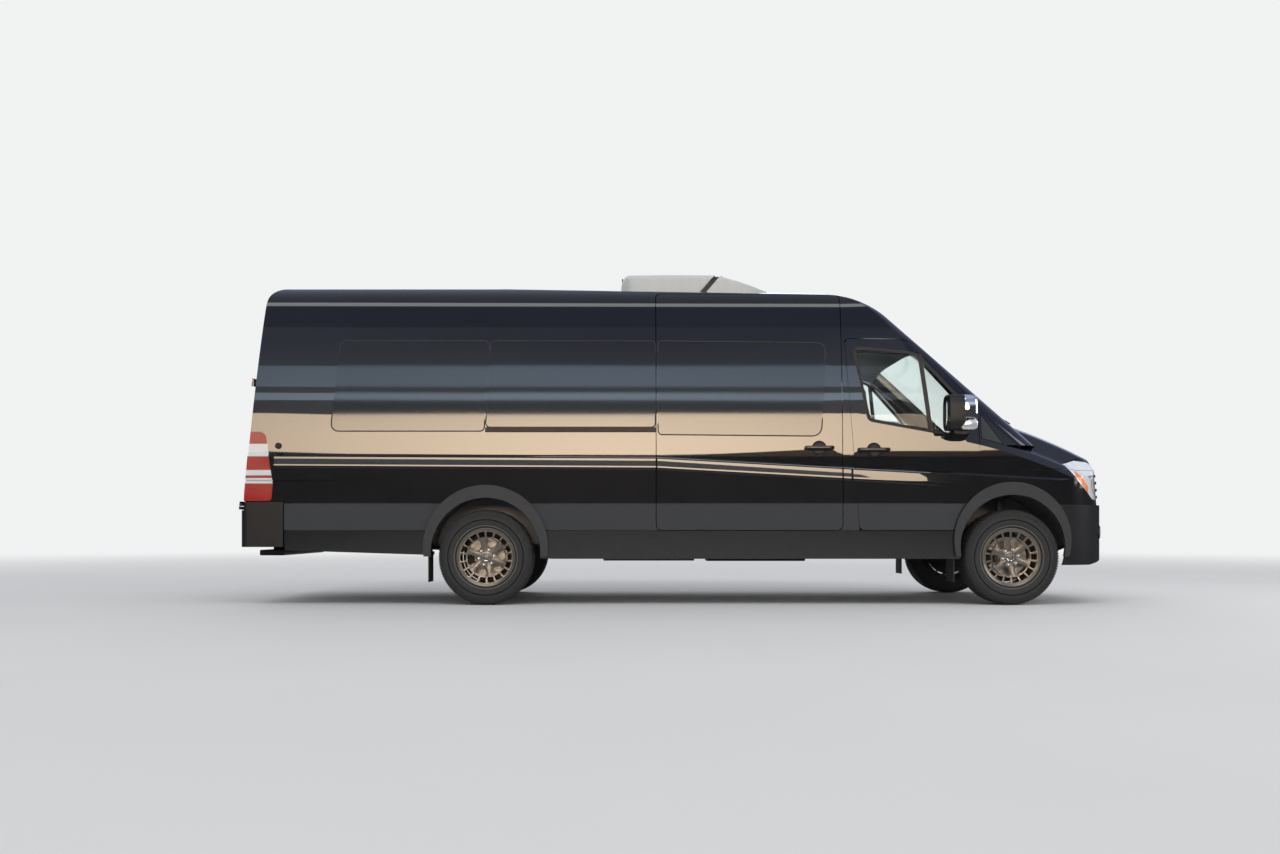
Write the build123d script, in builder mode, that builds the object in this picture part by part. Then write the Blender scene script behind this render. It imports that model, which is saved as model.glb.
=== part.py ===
from build123d import *

import os
from copy import deepcopy
from math import asin, atan2, cos, degrees, radians, sin, sqrt, tan

# High-roof long-wheelbase van, +X forwards, +Y to its left, +Z up.
# The origin is on the ground, NOSE_X behind the front of the bumper, under the middle of the length.

# Whole vehicle
BODY_WIDTH = 1993.0
WHEELBASE = 4325.0
FRONT_OVERHANG = 1004.0
REAR_OVERHANG = 2016.0
TRACK = 1710.0
NOSE_X = 3672.5
FRONT_AXLE_X = NOSE_X - FRONT_OVERHANG
REAR_AXLE_X = FRONT_AXLE_X - WHEELBASE
TAIL_X = REAR_AXLE_X - REAR_OVERHANG

# Clearances
SEAM = 6.0
FIT = 0.3
RUNNING = 1.0
CLEAR = 5.0

# Wheels, with widths across the tyre's middle plane
TYRE_RADIUS = 393.0
TYRE_WIDTH = 255.0
TYRE_TREAD_WIDTH = 214.0
BEAD_RADIUS = 229.0
RIM_FLANGE_RADIUS = 242.0
RIM_INNER_WIDTH = 200.0
RIM_FLANGE_THICKNESS = 11.0
RIM_BARREL = 12.0
DISC_FACE = 50.0
HUB_RADIUS = 60.0
HUB_BORE = 34.0
ROTOR_RADIUS = 165.0
ROTOR_FACE = -40.0
ROTOR_THICKNESS = 24.0
BOLT_CIRCLE = 130.0
BOLT_COUNT = 6
BOLT_HOLE_RADIUS = 7.5
SPOKES = 6
SLOTS = 18
WHEEL_Z = TYRE_RADIUS
WHEEL_Y = TRACK / 2

# Kingpin, leaning inwards to the strut top
KINGPIN_LOW = (740.0, 270.0)
KINGPIN_HIGH = (640.0, 900.0)
KINGPIN_SLOPE = (KINGPIN_HIGH[0] - KINGPIN_LOW[0]) / (KINGPIN_HIGH[1] - KINGPIN_LOW[1])

# Body section, half widths by height
SIDE_BOTTOM_Z = 380.0
SILL_TOP_Z = 612.0
MOULDING_BOTTOM_Z = 618.0
MOULDING_TOP_Z = 835.0
SHOULDER_Z = 1223.0
CREASE_Z = 2300.0
DRIP_Z = 2440.0
ROOF_EDGE_Z = 2668.0
ROOF_TOP_Z = 2742.0
SIDE_BOTTOM_HALF = 948.0
SHOULDER_HALF = 968.0
SIDE_MIDDLE_HALF = 941.0
CREASE_HALF = 885.0
DRIP_HALF = 862.0
ROOF_EDGE_HALF = 650.0
LEDGE_DEPTH = 17.0
MOULDING_INSET = 5.0
SHOULDER_BREAK_X = -253.0
SHOULDER_REAR_SLOPE = 0.0054
SHOULDER_FRONT_SLOPE = 0.0563

# Wall thicknesses
WALL = 60.0
NOSE_WALL = 28.0

# Tail
TAIL_LOW = (TAIL_X + 32.5, 900.0)
TAIL_HIGH = (TAIL_X + 170.5, 2442.0)
TAIL_ROOF_X = TAIL_X + 342.5

# Roof front, windscreen and bonnet centre lines
ROOF_PEAK_X = -1500.0
ROOF_FRONT = (1507.0, 2697.0)
SCREEN_BASE = (2830.0, 1545.0)
BROW_RADIUS = 900.0
CROWN_RADIUS = 2800.0
PILLAR_RADIUS = 170.0
HOOD_REAR = (2895.0, 1529.0)
HOOD_FRONT = (3560.0, 1225.0)
HOOD_RADIUS = 4000.0
GRILLE_TOP = (3625.0, 1120.0)
GRILLE_FOOT_X = 3648.0
NOSE_PLAN_RADIUS = 1515.0
NOSE_CORNER_Y = 750.0


def kingpin_y(z):
    """Distance of the left kingpin line from the middle plane at one height."""
    return KINGPIN_LOW[0] + KINGPIN_SLOPE * (z - KINGPIN_LOW[1])


def side_prism(points, radius, low, high):
    """Prism along Y of a closed outline in the side view, from y = low to y = high."""
    with BuildPart() as prism:
        with BuildSketch(Plane.XZ.offset(-low)):
            with BuildLine():
                if radius:
                    FilletPolyline(*points, radius=radius, close=True)
                else:
                    Polyline(*points, close=True)
            make_face()
        extrude(amount=low - high)
    return prism.part


def front_prism(points, radius, low, high):
    """Prism along X of a closed outline in the front view, from x = low to x = high."""
    with BuildPart() as prism:
        with BuildSketch(Plane.YZ.offset(low)):
            with BuildLine():
                if radius:
                    FilletPolyline(*points, radius=radius, close=True)
                else:
                    Polyline(*points, close=True)
            make_face()
        extrude(amount=high - low)
    return prism.part


def plan_prism(points, radius, low, high):
    """Prism along Z of a closed outline in the plan, from z = low to z = high."""
    with BuildPart() as prism:
        with BuildSketch(Plane.XY.offset(low)):
            with BuildLine():
                if radius:
                    FilletPolyline(*points, radius=radius, close=True)
                else:
                    Polyline(*points, close=True)
            make_face()
        extrude(amount=high - low)
    return prism.part


def box_between(low, high):
    """Box from its lowest corner to its highest."""
    middle = Vector(*[(a + b) / 2 for a, b in zip(low, high)])
    with BuildPart() as block:
        with Locations(middle):
            Box(*[b - a for a, b in zip(low, high)])
    return block.part


def rounded_box(low, high, radius):
    """Box from its lowest corner to its highest, with every edge rounded."""
    with BuildPart() as block:
        add(box_between(low, high))
        fillet(block.edges(), radius)
    return block.part


def side_cylinder(x, z, radius, low, high):
    """Cylinder along Y round (x, z), from y = low to y = high."""
    with BuildPart() as drum:
        with BuildSketch(Plane.XZ.offset(-low)):
            with Locations((x, z)):
                Circle(radius)
        extrude(amount=low - high)
    return drum.part


def section_prism(inset):
    """Cabin section, drawn from the sill to the roof crown and run along the whole body."""
    with BuildPart() as prism:
        with BuildSketch(Plane.YZ.offset(TAIL_X - 10)):
            with BuildLine():
                sill_left = (SIDE_BOTTOM_HALF, SIDE_BOTTOM_Z)
                shoulder_left = (SHOULDER_HALF, SHOULDER_Z)
                crease_left = (CREASE_HALF, CREASE_Z)
                drip_left = (DRIP_HALF, DRIP_Z)
                middle_left = (SIDE_MIDDLE_HALF, (SHOULDER_Z + CREASE_Z) / 2)
                edge_left = (ROOF_EDGE_HALF, ROOF_EDGE_Z)
                Line((0, SIDE_BOTTOM_Z), sill_left)
                Line(sill_left, shoulder_left)
                ThreePointArc(shoulder_left, middle_left, crease_left)
                drip = Line(crease_left, drip_left)
                TangentArc(drip_left, edge_left, tangent=drip % 1)
                SagittaArc(edge_left, (0, ROOF_TOP_Z), -(ROOF_EDGE_HALF**2) / 8 / CROWN_RADIUS)
                Line((0, ROOF_TOP_Z), (0, SIDE_BOTTOM_Z))
            make_face()
            mirror(about=Plane.YZ)
            if inset:
                offset(amount=-inset)
        extrude(amount=NOSE_X - TAIL_X + 20)
    return prism.part


def line_direction(angle):
    """Unit vector that runs forwards and down by an angle in the side view."""
    return Vector(cos(angle), 0, -sin(angle))


def line_normal(angle):
    """Unit vector square to line_direction, pointing up."""
    return Vector(sin(angle), 0, cos(angle))


def crown_band(at, angle, drop, edge_half, edge_radius):
    """Face square to a centre line, of all that lies above its crowned surface."""
    crown_sag = edge_half**2 / 2 / CROWN_RADIUS
    lean = edge_half / CROWN_RADIUS
    steep = radians(78)
    turn_half = edge_half + edge_radius * (sin(steep) - sin(lean))
    turn_drop = crown_sag + edge_radius * (cos(lean) - cos(steep))
    middle = (steep + lean) / 2
    middle_half = edge_half + edge_radius * (sin(middle) - sin(lean))
    middle_drop = crown_sag + edge_radius * (cos(lean) - cos(middle))
    foot_half = turn_half + (BAND_DEPTH - turn_drop) / tan(steep)
    with BuildSketch(Plane(at, x_dir=(0, 1, 0), z_dir=line_direction(angle))) as band:
        with BuildLine():
            Bezier((-edge_half, -crown_sag - drop), (0, crown_sag - drop), (edge_half, -crown_sag - drop))
            for side in (1, -1):
                start = (side * edge_half, -crown_sag - drop)
                bend = (side * middle_half, -middle_drop - drop)
                end = (side * turn_half, -turn_drop - drop)
                foot = (side * foot_half, -BAND_DEPTH)
                ThreePointArc(start, bend, end)
                Line(end, foot)
                Line(foot, (side * BAND_HALF, -BAND_DEPTH))
                Line((side * BAND_HALF, -BAND_DEPTH), (side * BAND_HALF, BAND_TOP))
            Line((-BAND_HALF, BAND_TOP), (BAND_HALF, BAND_TOP))
        make_face()
    return band.sketch


BAND_DEPTH = 620.0
BAND_TOP = 1600.0
BAND_HALF = 1300.0
SCREEN_REACH = 2600.0
SCREEN_EDGE_HALF = 790.0
ROOF_ANGLE = atan2(ROOF_TOP_Z - ROOF_FRONT[1], ROOF_FRONT[0] - ROOF_PEAK_X)
SCREEN_ANGLE = atan2(ROOF_FRONT[1] - SCREEN_BASE[1], SCREEN_BASE[0] - ROOF_FRONT[0])
BROW_TANGENT = BROW_RADIUS * tan((SCREEN_ANGLE - ROOF_ANGLE) / 2)
ROOF_CORNER = Vector(ROOF_FRONT[0], 0, ROOF_FRONT[1])
BROW_START = ROOF_CORNER - line_direction(ROOF_ANGLE) * BROW_TANGENT
BROW_END = ROOF_CORNER + line_direction(SCREEN_ANGLE) * BROW_TANGENT


def roof_front_cutter(inset):
    """All that lies above the falling roof, the brow and the windscreen."""
    axis = Axis(BROW_START - line_normal(ROOF_ANGLE) * BROW_RADIUS, (0, 1, 0))
    turn = degrees(SCREEN_ANGLE - ROOF_ANGLE)
    edge = SCREEN_EDGE_HALF - inset
    with BuildPart() as cutter:
        add(crown_band(BROW_START, ROOF_ANGLE, inset, edge, PILLAR_RADIUS - inset))
        revolve(axis=axis, revolution_arc=turn)
        add(crown_band(BROW_END, SCREEN_ANGLE, inset, edge, PILLAR_RADIUS - inset))
        extrude(amount=SCREEN_REACH, dir=line_direction(SCREEN_ANGLE))
        with BuildSketch(Plane(BROW_START, x_dir=(0, 1, 0), z_dir=line_direction(ROOF_ANGLE))):
            with BuildLine():
                sag = BAND_HALF**2 / 2 / CROWN_RADIUS
                Bezier((-BAND_HALF, -sag - inset), (0, sag - inset), (BAND_HALF, -sag - inset))
                Polyline(
                    (BAND_HALF, -sag - inset),
                    (BAND_HALF, BAND_TOP),
                    (-BAND_HALF, BAND_TOP),
                    (-BAND_HALF, -sag - inset),
                )
            make_face()
        extrude(amount=BROW_START.X - ROOF_PEAK_X + 200, dir=-line_direction(ROOF_ANGLE))
    return cutter.part



def rake_prism(points, radius, depth):
    """Prism square to the windscreen, of an outline of (across, down the rake from the brow)."""
    plane = Plane(BROW_END + line_normal(SCREEN_ANGLE) * 100, x_dir=(0, 1, 0), z_dir=-line_normal(SCREEN_ANGLE))
    with BuildPart() as prism:
        with BuildSketch(plane):
            with BuildLine():
                FilletPolyline(*points, radius=radius, close=True)
            make_face()
        extrude(amount=depth + 100)
    return prism.part


NOSE_CENTRE_ANGLE = atan2(HOOD_REAR[1] - HOOD_FRONT[1], HOOD_FRONT[0] - HOOD_REAR[0])
HOOD_CHORD = sqrt((HOOD_FRONT[0] - HOOD_REAR[0]) ** 2 + (HOOD_REAR[1] - HOOD_FRONT[1]) ** 2)
HOOD_HALF_TURN = degrees(HOOD_CHORD / 2 / HOOD_RADIUS)
HOOD_REAR_ANGLE = NOSE_CENTRE_ANGLE - radians(HOOD_HALF_TURN)
HOOD_CENTRE = Vector(HOOD_REAR[0], 0, HOOD_REAR[1]) - line_normal(HOOD_REAR_ANGLE) * HOOD_RADIUS
HOOD_CROWN_HALF = 560.0
HOOD_SHUT_HALF = 787.0
HOOD_SHUT_DROP = 238.0
FENDER_TOP_HALF = 900.0
FENDER_TOP_DROP = 262.0
FENDER_SIDE_HALF = 986.0
FENDER_SIDE_DROP = 365.0


def nose_cutter(inset):
    """All that lies above the bonnet and the front wings."""
    crown_sag = HOOD_CROWN_HALF**2 / 2 / CROWN_RADIUS
    start_angle = HOOD_REAR_ANGLE - radians(10)
    at = HOOD_CENTRE + line_normal(start_angle) * HOOD_RADIUS
    with BuildPart() as cutter:
        with BuildSketch(Plane(at, x_dir=(0, 1, 0), z_dir=line_direction(start_angle))):
            with BuildLine():
                ThreePointArc(
                    (-HOOD_CROWN_HALF, -crown_sag - inset),
                    (0, -inset),
                    (HOOD_CROWN_HALF, -crown_sag - inset),
                )
                for side in (1, -1):
                    FilletPolyline(
                        (side * HOOD_CROWN_HALF, -crown_sag - inset),
                        (side * (HOOD_CROWN_HALF + 100), -crown_sag - inset - 35),
                        (side * HOOD_SHUT_HALF, -HOOD_SHUT_DROP - inset),
                        (side * (FENDER_TOP_HALF - inset), -FENDER_TOP_DROP - inset),
                        (side * (FENDER_SIDE_HALF - inset), -FENDER_SIDE_DROP - inset),
                        (side * (FENDER_SIDE_HALF + 20 - inset), -BAND_DEPTH),
                        (side * BAND_HALF, -BAND_DEPTH),
                        (side * BAND_HALF, BAND_TOP),
                        radius=[90, 90, 110, 40, 5, 5],
                    )
                Line((-BAND_HALF, BAND_TOP), (BAND_HALF, BAND_TOP))
            make_face()
        revolve(axis=Axis(HOOD_CENTRE, (0, 1, 0)), revolution_arc=34)
    return cutter.part


def nose_plan(inset, tip_x, low, high, lean):
    """Prism of the rounded nose's plan, leaning back by lean in X for each unit of height."""
    sag = NOSE_PLAN_RADIUS - sqrt(NOSE_PLAN_RADIUS**2 - NOSE_CORNER_Y**2)
    side_half = FENDER_SIDE_HALF - inset
    slope = asin(NOSE_CORNER_Y / NOSE_PLAN_RADIUS)
    corner = (tip_x - inset - sag, NOSE_CORNER_Y - inset / 2)
    side_x = corner[0] - (side_half - corner[1]) * tan((slope + radians(90)) / 2)
    with BuildPart() as prism:
        with BuildSketch(Plane.XY.offset(low)):
            with BuildLine():
                ThreePointArc(
                    (corner[0], -corner[1]),
                    (tip_x - inset, 0),
                    corner,
                )
                for side in (1, -1):
                    TangentArc((side_x, side * side_half), (corner[0], side * corner[1]), tangent=(1, 0))
                    Line((side_x, side * side_half), (TAIL_X - 100, side * side_half))
                Line((TAIL_X - 100, -side_half), (TAIL_X - 100, side_half))
            make_face()
        extrude(amount=high - low, dir=Vector(-lean, 0, 1))
    return prism.part


def tail_prism(inset):
    """Prism across the body of its leaning tail and the roof's rounded rear edge."""
    lean = (TAIL_HIGH[0] - TAIL_LOW[0]) / (TAIL_HIGH[1] - TAIL_LOW[1])
    low_x = TAIL_LOW[0] + inset
    top_z = ROOF_TOP_Z + 40
    knee_z = 2640.0
    knee_x = low_x + (knee_z - TAIL_LOW[1]) * lean
    points = [
        (low_x, 0),
        (low_x, TAIL_LOW[1]),
        (knee_x, knee_z - inset),
        (TAIL_ROOF_X + 400, ROOF_TOP_Z + 12 - inset),
        (TAIL_ROOF_X + 800, top_z),
        (NOSE_X + 200, top_z),
        (NOSE_X + 200, 0),
    ]
    return side_prism(points, [10, 800, 150, 600, 5, 5, 5], -1100, 1100)



def lower_body():
    """The sides below the shoulder, which stand out by the ledge's depth."""
    moulding_half = SHOULDER_HALF + LEDGE_DEPTH - MOULDING_INSET
    lower_half = SHOULDER_HALF + LEDGE_DEPTH
    level = [
        (0, SIDE_BOTTOM_Z),
        (SIDE_BOTTOM_HALF + 7, SIDE_BOTTOM_Z),
        (moulding_half - 5, SILL_TOP_Z),
        (moulding_half, MOULDING_BOTTOM_Z),
        (moulding_half, MOULDING_TOP_Z),
        (lower_half, MOULDING_TOP_Z + MOULDING_INSET),
        (lower_half, LEDGE_SPLIT_Z),
        (0, LEDGE_SPLIT_Z),
    ]
    ledge = [
        (0, LEDGE_SPLIT_Z - 10),
        (lower_half, LEDGE_SPLIT_Z - 10),
        (lower_half, SHOULDER_Z - 12),
        (lower_half - 3, SHOULDER_Z - 5),
        (SHOULDER_HALF - 1, SHOULDER_Z + 8),
        (0, SHOULDER_Z + 8),
    ]
    with BuildPart() as lower:
        with BuildSketch(Plane.YZ.offset(TAIL_X - 10)):
            with BuildLine():
                Polyline(*level, close=True)
            make_face()
            mirror(about=Plane.YZ)
        extrude(amount=NOSE_X - TAIL_X + 20)
        for reach, slope in (
            (TAIL_X - 10 - SHOULDER_BREAK_X, -SHOULDER_REAR_SLOPE),
            (NOSE_X + 10 - SHOULDER_BREAK_X, -SHOULDER_FRONT_SLOPE),
        ):
            with BuildSketch(Plane.YZ.offset(SHOULDER_BREAK_X)):
                with BuildLine():
                    Polyline(*ledge, close=True)
                make_face()
                mirror(about=Plane.YZ)
            extrude(amount=reach, dir=Vector(1, 0, slope))
    return lower.part


LEDGE_SPLIT_Z = 1020.0
NOSE_START_X = 2300.0
FOOT_X = 2640.0
FOOT_Z = 1320.0
NOSE_LEAN = (GRILLE_FOOT_X - GRILLE_TOP[0]) / 300.0
BROW_LEAN = (GRILLE_TOP[0] - HOOD_FRONT[0]) / (HOOD_FRONT[1] - GRILLE_TOP[1])

body_block = section_prism(0) + lower_body()
cabin_limit = box_between((TAIL_X - 20, -1100, 0), (3200, 1100, 3000)) - box_between(
    (FOOT_X, -1100, 0), (3300, 1100, FOOT_Z)
)
cabin_outer = (body_block & cabin_limit) - roof_front_cutter(0)
nose_outer = (body_block & box_between((NOSE_START_X, -1100, 0), (NOSE_X + 20, 1100, 3000))) - nose_cutter(0)
nose_outer = nose_outer & nose_plan(0, GRILLE_TOP[0], GRILLE_TOP[1], 2000, BROW_LEAN) + nose_plan(
    0, GRILLE_TOP[0] + NOSE_LEAN * GRILLE_TOP[1], 0, GRILLE_TOP[1], NOSE_LEAN
)
envelope = (cabin_outer + nose_outer) & tail_prism(0)


def wheel_arch(arch):
    """Both cylinders, left and right of one axle, that open a wheel arch."""
    x, z, radius = arch
    return side_cylinder(x, z, radius, -1100, -500) + side_cylinder(x, z, radius, 500, 1100)


GLASS = 6.0
cabin_void = (section_prism(WALL) - roof_front_cutter(WALL)) & cabin_limit
nose_void = (section_prism(NOSE_WALL) & box_between((2411.5, -1100, 0), (NOSE_X, 1100, 3000))) - nose_cutter(
    NOSE_WALL
)
nose_void = nose_void & nose_plan(NOSE_WALL, GRILLE_TOP[0], 0, 2000, 0)
void = (cabin_void + nose_void) & tail_prism(WALL)
shell = envelope - void
glass_core = (section_prism(GLASS) - roof_front_cutter(GLASS)) & cabin_limit
glass_core = glass_core & tail_prism(GLASS)
glass_skin = envelope - glass_core

# Outlines in the side view, as (x, z)
REAR_ARCH = (REAR_AXLE_X, 433.0, 450.0)
REAR_FLARE = (REAR_AXLE_X, 476.0, 513.0)
FRONT_ARCH = (FRONT_AXLE_X, 478.0, 430.0)
FRONT_FLARE = (FRONT_AXLE_X, 533.0, 480.0)
SIDE_TOP_Z = 2635.0
DOOR_FRONT_X = 2405.5
DOOR_REAR_TOP_X = 1304.5
DOOR_REAR_LOW_X = 1416.0
DOOR_TOP_Z = 2200.0
SLIDER_REAR_X = -253.0
SLIDER_FRONT_X = 1275.0
SLIDER_TOP_Z = 2597.0
SIDE_LOW = 600.0
DOOR_LOW = 800.0
SIDE_HIGH = 1100.0
FENDER_REAR_X = DOOR_FRONT_X + SEAM / 2
FENDER_TOP_Z = 1335.0
CAB_TOP_Z = 2235.0
BUMPER_TOP_Z = 826.0


def door_prism(grow, low, high):
    """Front door's outline through the wall, grown outwards and cut to clear the wheel arch."""
    outline = [
        (DOOR_REAR_TOP_X - grow, DOOR_TOP_Z + grow),
        (1885 + grow / 2, DOOR_TOP_Z + grow),
        (DOOR_FRONT_X + grow, 1645 + grow / 2),
        (DOOR_FRONT_X + grow, MOULDING_BOTTOM_Z - grow),
        (DOOR_REAR_LOW_X - grow, MOULDING_BOTTOM_Z - grow),
    ]
    prism = side_prism(outline, [45, 350, 60, 30, 45], low, high)
    return prism - side_cylinder(FRONT_FLARE[0], FRONT_FLARE[1], FRONT_FLARE[2] + 8 - grow, low, high)


def slider_prism(grow, low, high):
    """Sliding door's outline through the wall, grown outwards."""
    outline = [
        (SLIDER_REAR_X - grow, SLIDER_TOP_Z + grow),
        (SLIDER_FRONT_X + grow, SLIDER_TOP_Z + grow),
        (SLIDER_FRONT_X + grow, MOULDING_BOTTOM_Z - grow),
        (SLIDER_REAR_X - grow, MOULDING_BOTTOM_Z - grow),
    ]
    return side_prism(outline, 45, low, high)


# Side panes by their corners: top rear, top front, bottom front, bottom rear
PANES = {
    "rear": [(-2864, 2185), (-1634, 2185), (-1672, 1431), (-2936, 1431)],
    "middle": [(-1622, 2185), (-262, 2185), (-262, 1463), (-1660, 1463)],
    "slider": [(-240, 2185), (1152, 2170), (1104, 1390), (-240, 1403)],
    "door": [(1378, 2128), (1895, 2080), (2285, 1655), (2215, 1395), (1498, 1525)],
}
PANE_RADII = {
    "rear": [70, 40, 40, 70],
    "middle": [40, 40, 40, 40],
    "slider": [40, 90, 90, 40],
    "door": [40, 220, 50, 60, 50],
}


def pane_prism(pane, shrink, low, high):
    """Outline of one side pane through the wall."""
    points = PANES[pane]
    middle_x = sum(x for x, z in points) / len(points)
    middle_z = sum(z for x, z in points) / len(points)
    moved = [
        (x - shrink if x > middle_x else x + shrink, z - shrink if z > middle_z else z + shrink)
        for x, z in points
    ]
    return side_prism(moved, PANE_RADII[pane], low, high)


# Rear doors in the rear view, as (y, z)
REAR_DOOR_BOTTOM_Z = 700.0
REAR_DOOR_TOP_Z = 2470.0
REAR_DOOR_HALF = 858.0
REAR_DOOR_TOP_HALF = 775.0
REAR_PANE = [(95, 1440), (745, 1440), (700, 2200), (95, 2200)]
TAIL_BAND = (TAIL_X - 20, TAIL_LOW[0] + 330)

rear_opening_outline = [
    (REAR_DOOR_HALF + SEAM, REAR_DOOR_BOTTOM_Z - SEAM),
    (REAR_DOOR_HALF + SEAM, SHOULDER_Z),
    (REAR_DOOR_TOP_HALF + SEAM, REAR_DOOR_TOP_Z + SEAM),
    (-REAR_DOOR_TOP_HALF - SEAM, REAR_DOOR_TOP_Z + SEAM),
    (-REAR_DOOR_HALF - SEAM, SHOULDER_Z),
    (-REAR_DOOR_HALF - SEAM, REAR_DOOR_BOTTOM_Z - SEAM),
]
rear_opening = front_prism(rear_opening_outline, [40, 300, 60, 60, 300, 40], *TAIL_BAND)
TAIL_LAMP_OUTLINE = [
    (TAIL_X - 27.5, 857),
    (TAIL_X - 27.5, 1426),
    (TAIL_X + 202.5, 1426),
    (TAIL_X + 269.5, 1000),
    (TAIL_X + 257.5, 857),
]
tail_lamp_prism = side_prism(TAIL_LAMP_OUTLINE, [5, 5, 60, 100, 30], REAR_DOOR_HALF + SEAM, SIDE_HIGH)
REAR_FRAME_HALF = 760.0

# Windscreen on its rake plane, as (across, down from the brow)
SCREEN_OUTLINE = [(-715, 30), (715, 30), (772, 1330), (500, 1395), (-500, 1395), (-772, 1330)]
SCREEN_RADII = [60, 60, 90, 900, 900, 90]
screen_opening = rake_prism(SCREEN_OUTLINE, SCREEN_RADII, 500)

# Bonnet in the plan, as (x, y)
HOOD_SIDE_X = 2795.0
HOOD_FRONT_X = 3606.0
HOOD_LAMP_X = 3145.0
HOOD_LAMP_Y = 787.0
HOOD_NOSE_X = 3470.0
HOOD_NOSE_Y = 590.0


def hood_prism(grow):
    """Bonnet's outline in the plan, grown outwards."""
    with BuildPart() as prism:
        with BuildSketch(Plane.XY.offset(HOOD_LOW_Z - grow)):
            with BuildLine():
                rear = (HOOD_REAR[0] - grow, 0)
                front = (HOOD_FRONT_X + grow, 0)
                for side in (1, -1):
                    corner = (HOOD_SIDE_X - grow, side * (HOOD_SHUT_HALF + grow))
                    lamp = (HOOD_LAMP_X, side * (HOOD_LAMP_Y + grow))
                    nose = (HOOD_NOSE_X + grow, side * (HOOD_NOSE_Y + grow))
                    Line(corner, lamp)
                    Line(lamp, nose)
                ThreePointArc(
                    (HOOD_SIDE_X - grow, HOOD_SHUT_HALF + grow), rear, (HOOD_SIDE_X - grow, -HOOD_SHUT_HALF - grow)
                )
                ThreePointArc(
                    (HOOD_NOSE_X + grow, HOOD_NOSE_Y + grow), front, (HOOD_NOSE_X + grow, -HOOD_NOSE_Y - grow)
                )
            make_face()
        extrude(amount=700)
    return prism.part


HOOD_LOW_Z = 1128.0

# Grille and headlamps
GRILLE_OUTLINE = [(-530, 1122), (530, 1122), (578, 1010), (510, 862), (-510, 862), (-578, 1010)]
GRILLE_RADII = [40, 40, 60, 50, 50, 60]
HEADLAMP_OUTLINE = [
    (3128, 1160),
    (3250, 1205),
    (3420, 1190),
    (3560, 1010),
    (3560, 872),
    (3385, 872),
    (3223, 1024),
]
HEADLAMP_RADII = [25, 80, 80, 60, 20, 60, 120]
HEADLAMP_INNER_Y = 585.0
LAMP_DEPTH = 70.0

with BuildPart() as side_wall_plain:
    add(deepcopy(shell))
    wall_front = [
        (TAIL_X - 10, SILL_TOP_Z),
        (TAIL_X - 10, SIDE_TOP_Z),
        (DOOR_REAR_TOP_X - SEAM / 2, SIDE_TOP_Z),
        (DOOR_REAR_TOP_X - SEAM / 2, DOOR_TOP_Z),
        (DOOR_REAR_LOW_X - SEAM / 2, MOULDING_BOTTOM_Z),
        (DOOR_REAR_LOW_X - SEAM / 2, SILL_TOP_Z),
    ]
    add(side_prism(wall_front, 0, SIDE_LOW, SIDE_HIGH), mode=Mode.INTERSECT)
    add(box_between((TAIL_X - 20, 0, 0), (TAIL_X + 330, REAR_FRAME_HALF, 3000)), mode=Mode.SUBTRACT)
    add(wheel_arch(REAR_ARCH), mode=Mode.SUBTRACT)
    add(rear_opening, mode=Mode.SUBTRACT)
    add(tail_lamp_prism, mode=Mode.SUBTRACT)
    add(pane_prism("rear", 0, SIDE_LOW, SIDE_HIGH), mode=Mode.SUBTRACT)
    add(pane_prism("middle", 0, SIDE_LOW, SIDE_HIGH), mode=Mode.SUBTRACT)

slider_window_hole = pane_prism("slider", 0, SIDE_LOW, SIDE_HIGH)
with BuildPart() as slider_left:
    add(deepcopy(shell))
    add(slider_prism(0, SIDE_LOW, SIDE_HIGH), mode=Mode.INTERSECT)
    add(slider_window_hole, mode=Mode.SUBTRACT)


with BuildPart() as rear_frame:
    add(deepcopy(shell))
    add(
        box_between((TAIL_X - 20, -REAR_FRAME_HALF, SILL_TOP_Z), (TAIL_X + 330, REAR_FRAME_HALF, SIDE_TOP_Z)),
        mode=Mode.INTERSECT,
    )
    add(rear_opening, mode=Mode.SUBTRACT)

with BuildPart() as roof:
    add(deepcopy(shell))
    roof_edge = [
        (TAIL_X - 10, SIDE_TOP_Z),
        (DOOR_REAR_TOP_X - SEAM / 2, SIDE_TOP_Z),
        (DOOR_REAR_TOP_X - SEAM / 2, CAB_TOP_Z),
        (NOSE_X, CAB_TOP_Z),
        (NOSE_X, 2900),
        (TAIL_X - 10, 2900),
    ]
    add(side_prism(roof_edge, 0, -1100, 1100), mode=Mode.INTERSECT)
    add(screen_opening, mode=Mode.SUBTRACT)

with BuildPart() as front_door_plain:
    add(deepcopy(shell))
    add(door_prism(0, DOOR_LOW, SIDE_HIGH), mode=Mode.INTERSECT)
    add(pane_prism("door", 0, SIDE_LOW, SIDE_HIGH), mode=Mode.SUBTRACT)

door_holes = door_prism(SEAM, DOOR_LOW - 2, SIDE_HIGH)
with BuildPart() as door_hole_pair:
    add(door_holes)
    mirror(door_holes, about=Plane.XZ)

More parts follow.
